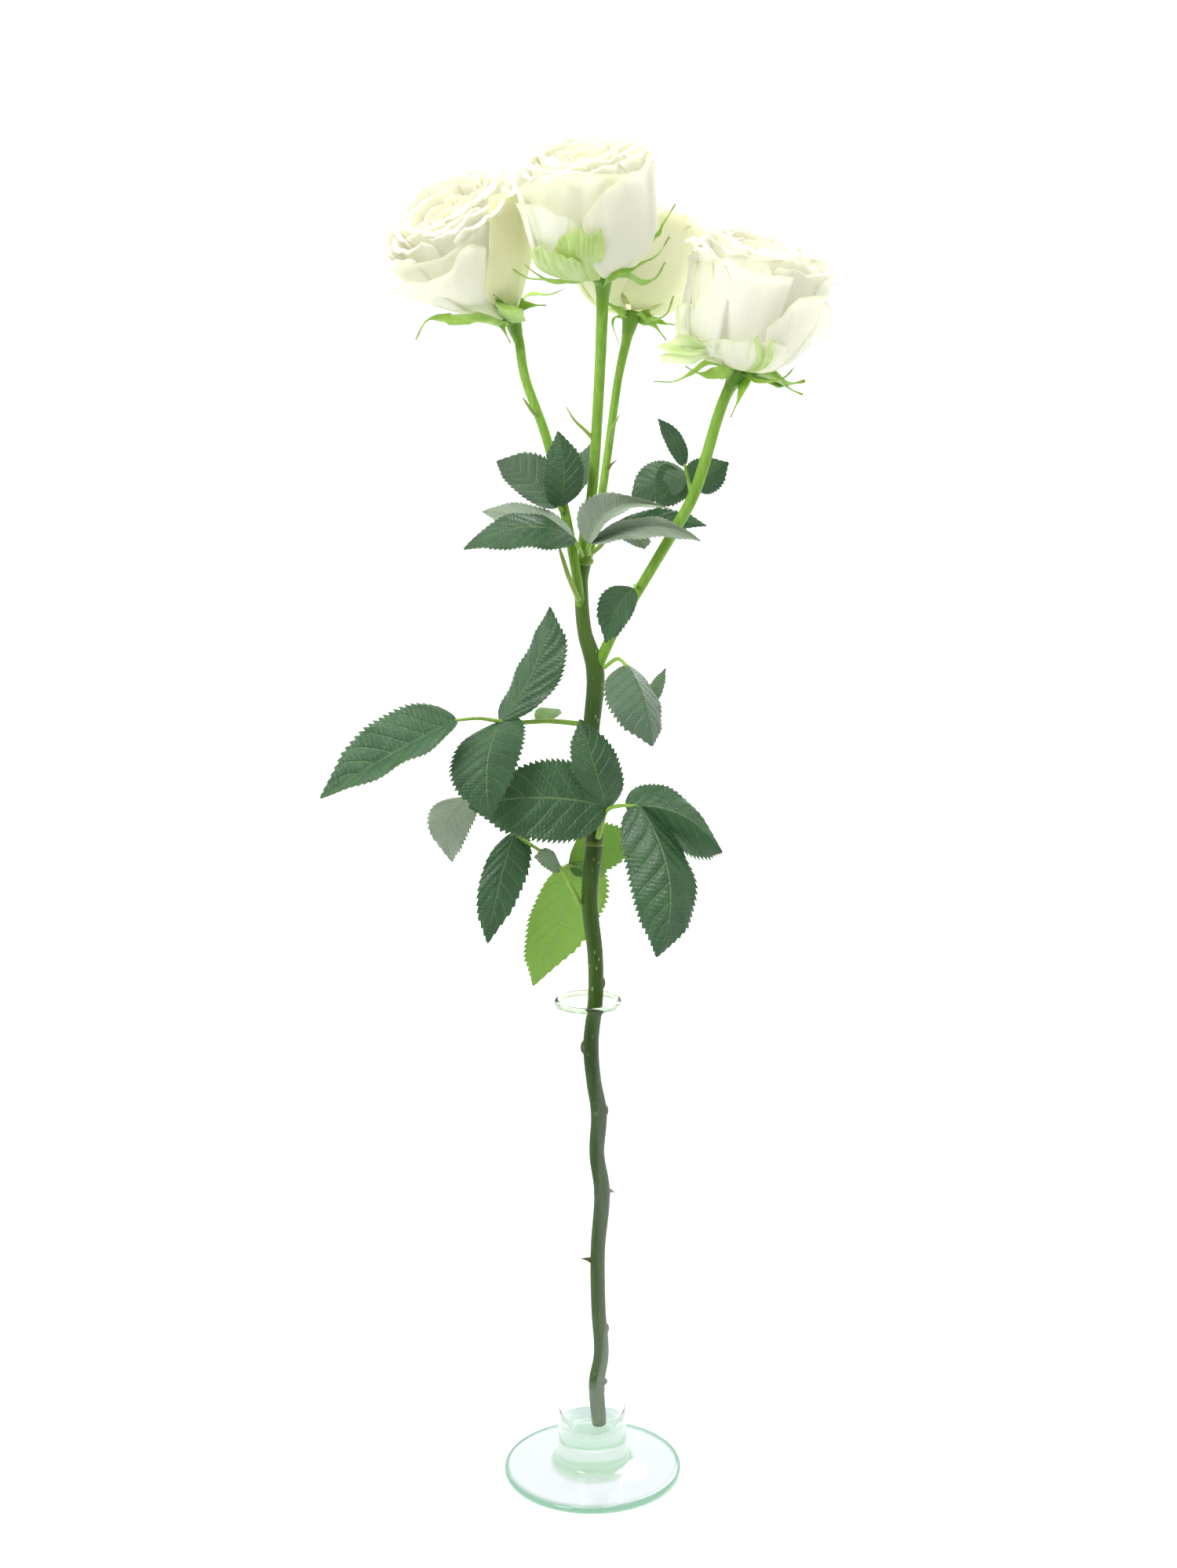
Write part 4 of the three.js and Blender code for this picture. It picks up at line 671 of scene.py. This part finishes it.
for leaf_name, (stalks, leaflets) in LEAVES.items():
    foliage = Shape()
    for points, low_radius, top_radius in stalks:
        radii = np.linspace(low_radius, top_radius, len(points))
        tube(foliage, points, radii, 12, len(points) * 6, (0, 1, 0.3, 0), 1)
    for blade in leaflets:
        leaflet(foliage, *blade)
    foliage.build(leaf_name + "_foliage", [blade_finish, bark], "leaf", leaf_name)


# The blooms are double white roses. Big outer petals are folded about a cup of
# smaller ones that grow in a spiral. They are cream inside, and yellow-green at
# the foot and on the outermost ones.
PETAL_THICK, PETAL_TUCK, SPIRAL_TURN, SPIRAL_PETALS = 0.42, 1.3, 137.5, 46
# The outer petals that show: how green, how golden and how ruffled each is, and its
# ribs about the axis of the bloom. The golden tint is partly cream and partly painted
# shade, the yellow of petals in shadow. Each rib runs from low on the cup up to the
# lip: turn in degrees, reach and height.
LAID = {
    "left": ((0, 0.1, 1.2, (
        ((199, 24.5, 27.5), (195, 28, 37), (217, 32, 50)), ((200, 22, 26.5), (218, 27, 38), (226, 29.5, 47)),
        ((227, 22.5, 28), (238, 26, 37), (241, 27, 43)), ((245, 22, 27.5), (257, 25, 37), (265, 26.5, 44.5)),
        ((262, 21.5, 27.5), (277, 24.5, 37.5), (287, 26.5, 45.5)),
        ((276, 22, 28.5), (291, 24.5, 37), (301, 26.5, 45.5)),
    )), (0, 0.12, 1.3, (
        ((208, 22, 19.5), (200, 28.5, 26.5), (196, 34, 33.5)),
        ((210, 19.5, 19), (220, 27, 30), (226, 31.5, 39.5)),
        ((230, 20, 21), (238, 26.5, 31), (242, 30, 38.5)), ((243, 20, 20.5), (253, 26, 31), (261, 29.5, 39)),
        ((252, 20, 20.5), (267, 26.5, 32.5), (275, 30.5, 45)),
        ((260, 20, 20), (275, 25, 29.5), (285, 29, 41)), ((269, 19.5, 19.5), (282, 23, 27), (290, 26.5, 36)),
    )), (0.12, 0.75, 0.7, (
        ((266, 18.5, 17.5), (286, 26.5, 34), (309, 27.5, 52.5)),
        ((274, 15, 13.5), (295, 26, 31), (320, 28, 50.5)), ((289, 12, 10), (307, 25, 28.5), (331, 28, 46.5)),
        ((309, 11, 8.5), (318, 23.5, 25), (338, 27, 39.5)),
        ((330, 10.5, 8.5), (334, 22, 21), (337, 26, 32.5)),
    ))),
    "top": ((0.03, 0.08, 1, (
        ((262, 21, 13), (261, 23.5, 21.5), (262, 24.5, 28.5)),
        ((274, 20.5, 12), (274, 24, 23.5), (274, 25.5, 35)),
        ((288, 20.5, 12), (290, 24, 25), (289, 25.5, 38.5)),
        ((304, 20, 11.5), (306, 23.5, 27), (304, 25.5, 41)),
        ((321, 20, 11.5), (325, 23, 26.5), (322, 25, 41.5)),
        ((337, 21, 12.5), (340, 23, 26.5), (339, 24.5, 41)), ((347, 22, 14), (358, 24, 25.5), (357, 25, 36)),
    )), (0.06, 0.25, 0.9, (
        ((209, 21.5, 18.5), (184, 22.5, 26.5), (184, 24, 36.5)),
        ((225, 21.5, 19), (224, 23, 32.5), (228, 23.5, 44)),
        ((242, 21.5, 18.5), (250, 23, 33.5), (258, 23.5, 45)),
        ((262, 21.5, 18), (274, 23, 32.5), (281, 23.5, 43.5)),
        ((278, 21.5, 18), (293, 23, 31), (306, 23.5, 41)),
    )), (0.15, 0, 0.9, (
        ((195, 21, 11), (184, 24, 19.5), (185, 25.5, 32.5)),
        ((203, 19, 10), (215, 24, 23), (217, 25.5, 34.5)),
        ((224, 19.5, 10.5), (233, 24, 23.5), (237, 25.5, 34.5)),
        ((238, 19, 10.5), (246, 23.5, 21), (252, 24.5, 30.5)),
        ((250, 19, 10.5), (256, 23, 19), (261, 24, 28)),
    )), (0.62, 0.15, 2.6, (
        ((202, 18.5, 4.5), (197, 22.5, 7.5), (205, 25.5, 15)),
        ((210, 16.5, 4.5), (215, 22, 11), (224, 26, 21)),
        ((226, 16.5, 5.5), (231, 22, 11.5), (236, 25.5, 18.5)),
        ((242, 17.5, 6.5), (243, 21.5, 11), (247, 25, 16.5)),
        ((253, 18, 7.5), (253, 20, 9.5), (255, 22.5, 12.5)),
    )), (0.88, 0.1, 3.2, (
        ((235, 17.5, 8), (235, 22, 12.5), (234, 24.5, 17.5)),
        ((243, 17.5, 8), (247, 24, 16.5), (248, 25.5, 24.5)),
        ((251, 17.5, 8), (256, 24, 17.5), (260, 26, 28)),
        ((259, 18, 8.5), (264, 24, 16.5), (267, 25.5, 24.5)),
        ((266, 18, 9), (272, 24, 17.5), (275, 25.5, 26.5)),
        ((272, 18.5, 9.5), (277, 23.5, 15.5), (277, 24.5, 21)),
    ))),
    "right": ((0, 0.05, 0.7, (
        ((228, 19.5, 8.5), (225, 25, 22.5), (217, 26.5, 38)),
        ((243, 19.5, 9), (241, 26, 26.5), (237, 27, 41)),
        ((260, 20.5, 10), (257, 26.5, 28.5), (253, 27, 40.5)),
        ((274, 22, 11.5), (272, 26, 30), (272, 27, 40)), ((286, 24, 15), (289, 25.5, 29.5), (289, 26.5, 41)),
    )), (0.1, 0.4, 0.7, (
        ((190, 18.5, 7.5), (198, 24.5, 20.5), (189, 26, 34)),
        ((213, 19.5, 8), (214, 26, 22.5), (205, 27, 36.5)),
        ((226, 20, 8.5), (222, 25.5, 23.5), (212, 26.5, 37)),
        ((238, 20.5, 9), (231, 25.5, 25), (224, 27, 38.5)),
    )), (0.25, 0.1, 0.8, (
        ((210, 23, 4.5), (185, 26, 7.5), (185, 27, 17)), ((213, 20.5, 4.5), (185, 23, 9), (202, 27.5, 20.5)),
        ((216, 16.5, 4.5), (216, 24, 13), (211, 26.5, 21.5)),
    )), (0.05, 0.1, 1, (
        ((288, 18.5, 7), (281, 25.5, 15), (278, 26.5, 22)),
        ((300, 18.5, 7), (289, 26, 17.5), (286, 27.5, 26)),
        ((310, 19, 7.5), (297, 26.5, 21), (289, 29, 32.5)), ((317, 20, 9), (310, 27, 23), (300, 29, 36)),
        ((320, 22, 12), (325, 26.5, 25.5), (321, 28.5, 36.5)),
    )), (0, 0, 0.8, (
        ((313, 21.5, 11.5), (317, 26, 23), (321, 28.5, 34.5)),
        ((321, 21.5, 11.5), (326, 27, 22), (336, 29, 29)), ((322, 22, 11.5), (323, 27, 19), (329, 29.5, 20)),
    )), (0.22, 0.05, 1, (
        ((238, 15.5, 4.5), (231, 20, 6), (228, 23.5, 10)), ((253, 17, 5), (249, 21.5, 8), (249, 26, 13.5)),
        ((267, 17.5, 5.5), (264, 23, 10), (264, 26.5, 15.5)),
        ((279, 17, 5.5), (275, 24, 11.5), (274, 27, 17)), ((293, 17, 5), (288, 24.5, 12), (285, 26.5, 17.5)),
        ((311, 17, 5), (306, 23, 11.5), (300, 26, 16.5)),
    )), (0.6, 0.2, 1.4, (
        ((281, 19.5, 6.5), (275, 26, 13), (270, 28, 16.5)),
        ((284, 19.5, 7), (277, 26.5, 13), (271, 28.5, 19)),
        ((288, 19.5, 7), (280, 26.5, 13.5), (276, 27.5, 16.5)),
    )), (0.6, 0.2, 1.4, (
        ((287, 19.5, 6.5), (282, 26.5, 13), (282, 27.5, 17)),
        ((290, 19.5, 6.5), (284, 27, 13.5), (284, 28.5, 19)),
        ((295, 19, 6.5), (288, 27, 13.5), (286, 27.5, 16)),
    )), (0.42, 0.15, 1.6, (
        ((216, 14, 2.5), (176, 18, -2.5), (177, 27, -4)),
        ((226, 17.5, 4.5), (230, 31, 4.5), (223, 35.5, 4.5)), ((233, 20, 7), (207, 22, 4.5), (203, 33, 4.5)),
        ((238, 20.5, 8), (219, 23, 8), (187, 25, 7)), ((243, 21, 8.5), (237, 23.5, 10), (231, 25.5, 11)),
    ))),
    "back": (),
}
PETAL_WAVES, LIP_FROM, PETAL_FIRMNESS = ((0.75, 21.0), (0.45, 9.5), (0.22, 4.6)), 0.84, 0.9


def ease(t):
    """0 below 0, 1 above 1, smooth between."""
    t = np.clip(t, 0, 1)
    return t * t * (3 - 2 * t)


def petal(shape, place, sheet, draw, ruffle, roll, tint):
    """One petal. Its sheet is given about the axis of its bloom: turn, reach and height."""
    turn, reach, height = np.moveaxis(sheet, -1, 0)
    u, v = lattice(*turn.shape)
    half = math.radians(np.ptp(turn[-1])) * reach[-1].mean() / 2
    phases = draw.uniform(0, 2 * math.pi, 8)
    wave, lift = (
        sum(size * np.sin(u * half * 2 * math.pi / length + phases[first + k])
            for k, (size, length) in enumerate(PETAL_WAVES))
        for first in (0, 3)
    )
    loose = np.maximum(v ** 5, 0.7 * np.abs(u) ** 8 * v)
    crease = 0.28 * np.sin(u * half * 0.55 + phases[6]) * v ** 1.5
    crease += 0.3 * np.sin(u * 3 + v * 5 + phases[7])
    rolled = np.clip((v - LIP_FROM) / (1 - LIP_FROM), 0, 1) ** 2
    rolled = roll * rolled * (0.75 + 0.25 * np.sin(u * 3.3 + phases[1]))
    reach = np.maximum(reach + ruffle * wave * loose * 0.8 + crease + rolled, 0.15)
    height = height + ruffle * lift * loose * PETAL_FIRMNESS - rolled * 0.5
    turn = np.radians(turn)
    turn_matrix, origin = place
    middle = layers(reach * np.cos(turn), reach * np.sin(turn), height) @ turn_matrix.T + origin
    thickness = PETAL_THICK * (1 - 0.55 * np.abs(u) ** 6) * (1 - 0.6 * v ** 6)
    shell(shape, middle, thickness, layers(u * half / 20, v, phases[0]), tint)


OUTER_FINENESS, HEART_FINENESS, OPEN_HEIGHT = 26, 12, 0.86


def spiral_petal(flower, age, turn, half, draw):
    """The sheet of a cupped petal. Age is 0 for the outermost and 1 for the heart."""
    grid = round(OUTER_FINENESS - (OUTER_FINENESS - HEART_FINENESS) * age)
    u, v = lattice(grid + 1, grid + 3)
    spread = 0.42 + 0.58 * ease(v / 0.55)
    widest = flower["reach"] * (1.0 - 0.93 * age ** 0.9) * draw.uniform(0.97, 1.03)
    grown = min(age * 1.8, 1.0)
    top = OPEN_HEIGHT + (flower["heart"] - OPEN_HEIGHT) * grown + 0.09 * math.sin(math.pi * grown)
    top = flower["height"] * (top + draw.uniform(-0.03, 0.03))
    foot = flower["height"] * 0.6 * age
    rise, belly, lip = top - foot, flower["belly"], 3.4 * (1 - age) ** 2
    ribs = [
        (widest * 0.16, foot + 0.9),
        (widest * (0.48 + 0.18 * belly), foot + rise * (0.16 - 0.06 * belly) + 0.6),
        (widest * (0.8 + 0.15 * belly), foot + rise * (0.4 - 0.04 * belly)),
        (widest * (0.96 + 0.04 * belly), foot + rise * (0.7 - 0.02 * belly)),
        (widest * 0.97 + lip * 0.6, top - lip * 0.15),
        (widest * 0.97 + lip, top - lip * 0.2),
    ]
    tilt, dent, peak = draw.uniform(-0.07, 0.07), draw.uniform(0, 0.05), draw.uniform(-0.5, 0.5)
    notch = 0.2 * np.abs(u) ** 3 + tilt * u + dent * np.exp(-((u - peak) / 0.22) ** 2) + abs(tilt)
    line = spline(ribs, np.clip(v * (1 - notch), 0, 1))
    reach = line[..., 0] + PETAL_TUCK * u * (line[..., 0] / widest)
    return np.stack([turn + half * spread * u + 0 * v, reach, line[..., 1]], axis=-1)


CLAW_REACH, CLAW_HEIGHT, LAID_FINENESS = 3.2, 0.9, 26


def laid_petal(ribs, bowl):
    """The sheet of an outer petal through its ribs, from a narrow claw round the belly."""
    ribs = np.array(ribs, float)
    turn, reach, height = ribs[:, 0].T
    middle = turn.mean()
    claw = layers(middle + (turn - middle) * 0.6, CLAW_REACH, CLAW_HEIGHT)
    level = CLAW_HEIGHT + (height - CLAW_HEIGHT) * (0.5 - 0.23 * bowl)
    belly = layers(middle + (turn - middle) * 0.8, reach * 0.68, level)
    ribs = np.concatenate([claw[:, None], belly[:, None], ribs], axis=1)
    lines = np.stack([spline(rib, np.linspace(0, 1, LAID_FINENESS + 1)) for rib in ribs], axis=1)
    return np.stack([spline(row, np.linspace(0, 1, LAID_FINENESS + 5)) for row in lines])


petal_finish, mark = finish("white_petal")
place, spot, tone = marks_of(mark)
# The gold of a petal is partly its cream tint and partly painted shade: the yellow-olive of petals that lie
# in shadow and are lit through other petals.
gold_and_shade = mark.node("ShaderNodeAttribute", {"attribute_name": "tone"}, {}, out="Alpha")
along, greened, heart, shade = spot.part("Y"), tone.part("X"), tone.part("Y"), tone.part("Z")
fan = spot.times((9.0, 0.9, 7.0))
fibres = fan.noise(4.0, 4.0)
clouds = place.noise(110.0, 3.0)
streak = fan.noise(0.9, 4.0)
white = clouds.rise(0.3, 0.7).blend((0.975, 0.980, 0.945), (0.985, 0.988, 0.970))
white = (shade * 0.3).blend(white, (0.965, 0.975, 0.915))
white = (heart * 0.7).blend(white, (0.985, 0.965, 0.87))
gilt_and_shade, root = gold_and_shade * (0.55 + clouds * 0.6), (1.0 - along.rise(0.02, 0.45)) * 0.7
rim = along.rise(0.955, 1.0) * 0.35
white = gilt_and_shade.blend(white, (0.975, 0.975, 0.68))
white = root.blend(white, (0.86, 0.91, 0.60))
white = (fibres.rise(0.45, 0.8) * 0.16).blend(white, (0.90, 0.93, 0.74))
green = (greened * 1.2 + streak * 1.4 - 0.75).rise(0.1, 0.9) * greened.rise(0.0, 0.15) * 0.85
lush = (fibres * 0.6 + clouds * 0.5).rise(0.35, 0.75)
white = green.blend(white, lush.blend((0.80, 0.90, 0.50), (0.52, 0.72, 0.13)))
white = rim.blend(white, (0.80, 0.82, 0.56))
silk = (fibres + streak * 1.5 + clouds * 0.6).bump(0.4, 0.0004)
# The light let through takes the same coats, including the painted shade of the gold.
coats = (
    (heart * 0.7, (0.985, 0.960, 0.827)), (gilt_and_shade, (0.975, 0.970, 0.646)), (root, (0.86, 0.905, 0.57)),
    (green, (0.80, 0.896, 0.475)), (green * lush, (0.52, 0.716, 0.124)), (rim, (0.80, 0.816, 0.532)),
)
# The petals also glow faintly in their own colour. This is painted light that lifts the shade between and
# inside them.
let_light_through(mark, 0.62, (0.979, 0.979, 0.907), coats, silk, {
    "Base Color": white, "Roughness": 0.5 + clouds * 0.15, "Sheen Weight": 0.1,
    "Emission Color": white, "Emission Strength": 0.06,
})


def settle(flower):
    """The turn and the origin that take bloom space to its place."""
    axis = Vector(flower["axis"]).normalized()
    turn = Vector((0, 0, 1)).rotation_difference(axis).to_matrix()
    return np.array(turn), np.array(flower["hip"], float)


OUTER_HALF, INNER_HALF, HEART_HALF, HEART_AGE = 52, 46, 26, 0.06
for flower_name, flower in FLOWERS.items():
    draw = np.random.default_rng(len(flower_name) * 7 + flower["spin"])
    bloom = Shape()
    place = settle(flower)
    greenish = 0.1 if flower_name == "back" else 0.0
    for turn in flower["outer"]:
        sheet = spiral_petal(flower, 0.0, turn + draw.uniform(-5, 5), OUTER_HALF, draw)
        petal(bloom, place, sheet, draw, 1.5, 1.2, (greenish, 0.0, draw.uniform(), greenish * 4))
    for number in range(1, SPIRAL_PETALS):
        age = number / SPIRAL_PETALS
        turn = flower["spin"] + number * SPIRAL_TURN
        half = INNER_HALF + HEART_HALF * age ** 2 + draw.uniform(-4, 4)
        sheet = spiral_petal(flower, HEART_AGE + (1 - HEART_AGE) * age, turn, half, draw)
        petal(bloom, place, sheet, draw, 1.35 - 0.8 * age, 1.3 * (1 - age),
              (greenish * (1 - age), age, draw.uniform(), greenish * 2 + 0.25 * age))
    for tinge, gilding_and_shade, ruffle, ribs in LAID[flower_name]:
        sheet = laid_petal(ribs, flower["belly"])
        petal(bloom, place, sheet, draw, ruffle * 0.55, 0.9, (tinge, 0.0, draw.uniform(), gilding_and_shade))
    bloom.build("petals_" + flower_name, [petal_finish], "petal", "bloom_" + flower_name)


# Under each bloom sits a smooth green hip with its sepals. They are pointed, with
# fine hairs at the edge, and end in long thin tips that curl and turn brown.
HIP_RADII = [2.3, 2.75, 3.192, 3.7, 3.8]
SEPAL_THICK, SEPAL_ROWS, SEPAL_COLUMNS = 0.45, 49, 15
HAIR_THICK, HAIR_SINK, HAIR_SPREAD, HAIR_LENGTHS = 0.045, 0.05, 0.35, (0.35, 0.85)
# Each has the points of its midrib after the hip, then the half width as it
# lies near the hip and as it lies towards the tip.
SEPALS = {
    "left": (
        (((-37, -2, 459.5), (-49, 6, 460), (-56.5, 3, 459.5), (-61, 2, 452.5)), (0, -3.2, 0.2),
         (1.2, -1.8, 2.4)),
        (((-27, -7, 463.5), (-29.5, 1, 465.5), (-31.5, -10.5, 468)), (-4.6, 1.5, 0.3), (-3.8, 1, 0.8)),
        (((-23, 10, 464), (-19, 9, 464.5), (-13, 8, 464.5)), (2.4, -2.2, 2.2), (1.4, -1, 2.6)),
        (((-19.5, 34, 469), (-12, 32, 469), (-6.5, 33, 471)), (0.5, 1.8, 0.6), (0, 1.2, 0.6)),
        (((-30.5, 12, 459), (-29, 11.5, 456), (-26.5, 12, 451)), (-2, -2.4, 0.4), (-1.8, -0.6, -0.4)),
    ),
    "top": (
        (((-1.5, -12, 472.5), (-9.5, -17, 472), (-15.5, -30, 474.5), (-20, -31, 478)), (0.4, -2.6, 0.2),
         (0.6, -1.4, 0.9)),
        (((-1.5, -8, 472), (-11.5, -9, 473), (-19.5, -10, 474), (-24.5, -10, 477)), (0.3, 1.9, 0.5),
         (0.2, 1.2, 0.4)),
        (((11, -28, 474), (17, -28, 475.5), (24, -30, 479)), (0.5, -2.2, 1.2), (0.2, -0.8, 2.2)),
        (((17, -13, 474), (22, -10, 471.5), (27, -8, 473.5), (30.5, -8, 479)), (0, 1.9, 0.9),
         (0, 2.3, 1.2)),
        (((20.5, 4, 479.5), (27, 9, 488), (30.5, 11, 493.5), (35, 12, 500.5)), (0, 3, 1.2),
         (2.2, 1.4, 1.5)),
        (((20.5, -2, 478.5), (28, 2, 482), (32.5, 3, 488.5)), (0, -0.1, 0.4), (0.8, -0.2, 0.5)),
    ),
    "right": (
        (((50, -12, 439.5), (44, -10, 439), (37.5, -11, 442)), (0.3, -2.4, 1.2), (-0.4, -1.4, 2.6)),
        (((47.5, 7, 443), (41, 6, 439.5), (34.5, 5, 436.5), (26.5, 5, 436.5)), (0.3, 3.6, 0.9),
         (0.3, 1.6, 1.2)),
        (((60.5, 2, 436.5), (58, -5, 431), (54.5, -5, 423.5)), (3.2, -0.4, 0.6), (2.6, -0.8, 0.6)),
        (((64, -6, 436.5), (69.5, -6, 436.5), (74.5, -6, 438), (78.5, -6, 442.5)), (0, 0.7, 0.8),
         (0.3, -0.3, 0.6)),
        (((69, 9, 437.5), (76.5, 11, 435), (83.5, 12, 436)), (0.4, 5.9, 1.6), (0.3, 4.5, 3.4)),
        (((73.5, 10, 436), (78, 11, 433), (82.5, 11, 431)), (0.3, 5.1, 1.6), (0.3, 2.9, 1)),
    ),
    "back": (
        (((14.5, 30, 462.5), (10, 27, 465.5), (8, 26, 468)), (-0.5, -2, 1.6), (-1, -0.8, 1.8)),
        (((25.5, 31, 459), (32, 29, 461), (35, 28, 468)), (0, -2.6, 0.8), (0.6, -1.2, 0.4)),
        (((24.5, 34, 459), (28, 36, 457), (32.5, 36, 451.5)), (2, -4.5, 1.8), (2, -0.6, 1.4)),
        (((29.5, 51, 459), (32.5, 50, 458), (37, 51, 457.5)), (0, 2.4, 1), (0.2, 1, 1.2)),
        (((13, 40, 460.5), (12, 40, 458), (14.5, 39, 450)), (-0.4, -0.7, 0.8), (0.9, 0.6, 0.1)),
    ),
}


def hairs(shape, feet, ways, draw):
    """Fine three-sided hairs, each leaning from its foot out to a point."""
    turns = np.radians([0, 120, 240])[:, None]
    for foot, way in zip(feet, ways):
        way = unit(way + draw.normal(0, HAIR_SPREAD, 3))
        across = unit(np.cross(way, (0.31, 0.52, 0.79)))
        ring = HAIR_THICK * (np.cos(turns) * across + np.sin(turns) * np.cross(way, across))
        root, tip = foot - HAIR_SINK * way, foot + way * draw.uniform(*HAIR_LENGTHS)
        shape.add(np.vstack([root + ring, tip]), [[0, 1, 3], [1, 2, 3], [2, 0, 3], [0, 2, 1]],
                  (0.6, 0.5, 0.0), (1.0, 0.8, 0.0, 0.0))


def sepal(shape, flower, rib, root_side, end_side, draw, hair_draw):
    """One sepal from the foot of the petals to a long thin point."""
    hip, axis = np.array(flower["hip"], float), np.array(Vector(flower["axis"]).normalized())
    away = np.array(rib[0], float) - hip
    away = unit(away - axis * away.dot(axis))
    seats = [hip - axis * 1.2 + away * 1.6, hip - axis + away * 4.6]
    u, v = lattice(SEPAL_ROWS, SEPAL_COLUMNS)
    line = spline([*seats, *rib], v[:, 0])
    turned = np.clip(v * 1.5, 0, 1)
    side = (1 - turned) * np.array(root_side, float) + turned * np.array(end_side, float)
    narrow = 1 - ease((v - 0.45) / 0.45)
    width = 0.06 + (0.55 + 0.45 * ease(v / 0.3)) * (0.12 * (1 - v) ** 0.5 + 0.88 * narrow)
    sway = draw.uniform(-1.0, 1.0)
    teeth = 0.22 * np.clip(np.sin(v * 23 + sway * 3 + np.sign(u)), 0, 1) * np.abs(u) ** 4 * narrow
    grid = line[:, None, :] + (u * (width + teeth))[..., None] * side[:, None, :]
    cup = 0.45 * u ** 2 * width + 0.2 * np.sin(v * 14 + sway) * u * v
    cup *= np.linalg.norm(side, axis=-1, keepdims=True) * 0.5
    bend = unit(np.cross(side, np.gradient(line, axis=0)))
    bend *= np.sign(bend @ axis)[:, None]
    grid = grid + cup[..., None] * bend[:, None, :]
    thickness = SEPAL_THICK * (1 - 0.5 * u ** 2) + 0.25 * np.exp(-(u / 0.2) ** 2)
    shell(shape, grid, thickness, layers(u, v, 0.0), (1.0, draw.uniform(), 0.0, 0.0), sided=True)
    for edge, inner in ((0, 1), (-1, -2)):
        feet = grid[5:-3, edge]
        ahead = unit(grid[6:-2, edge] - feet)
        hairs(shape, feet, unit(feet - grid[5:-3, inner]) + 0.5 * ahead, hair_draw)


sepal_finish, mark = finish("green_sepal")
place, spot, tone = marks_of(mark)
aside, along, is_sepal = abs(spot.part("X")), spot.part("Y"), tone.part("X")
grain = place.noise(900.0, 3.0, (1.0, 1.0, 0.5))
fleshy = place.noise(140.0, 2.0).rise(0.3, 0.7).blend((0.25, 0.48, 0.035), (0.44, 0.68, 0.10))
green = is_sepal.blend((0.145, 0.315, 0.025), fleshy)
green = (tone.part("Y") * 0.35).blend(green, (0.60, 0.76, 0.16))
green = (is_sepal * aside.rise(0.8, 1.0) * 0.5).blend(green, (0.62, 0.72, 0.42))
green = (is_sepal * along.rise(0.85, 1.0) * 0.6).blend(green, (0.40, 0.30, 0.16))
green = (grain.rise(0.55, 0.8) * 0.2).blend(green, (0.50, 0.64, 0.28))
let_light_through(mark, is_sepal * 0.3, (0.55, 0.80, 0.16), (), grain.bump(0.4, 0.0003), {
    "Base Color": green, "Roughness": 0.5 + grain * 0.2, "Sheen Weight": 0.3,
})

for flower_name, flower in FLOWERS.items():
    draw = np.random.default_rng(31 + flower["spin"])
    hair_draw = np.random.default_rng(77)
    calyx = Shape()
    tube(calyx, hip_line(flower), HIP_RADII, 28, 24)
    for rib, root_side, end_side in SEPALS[flower_name]:
        sepal(calyx, flower, rib, root_side, end_side, draw, hair_draw)
    calyx.build("hip_and_sepals_" + flower_name, [sepal_finish], "sepal", "calyx_" + flower_name)
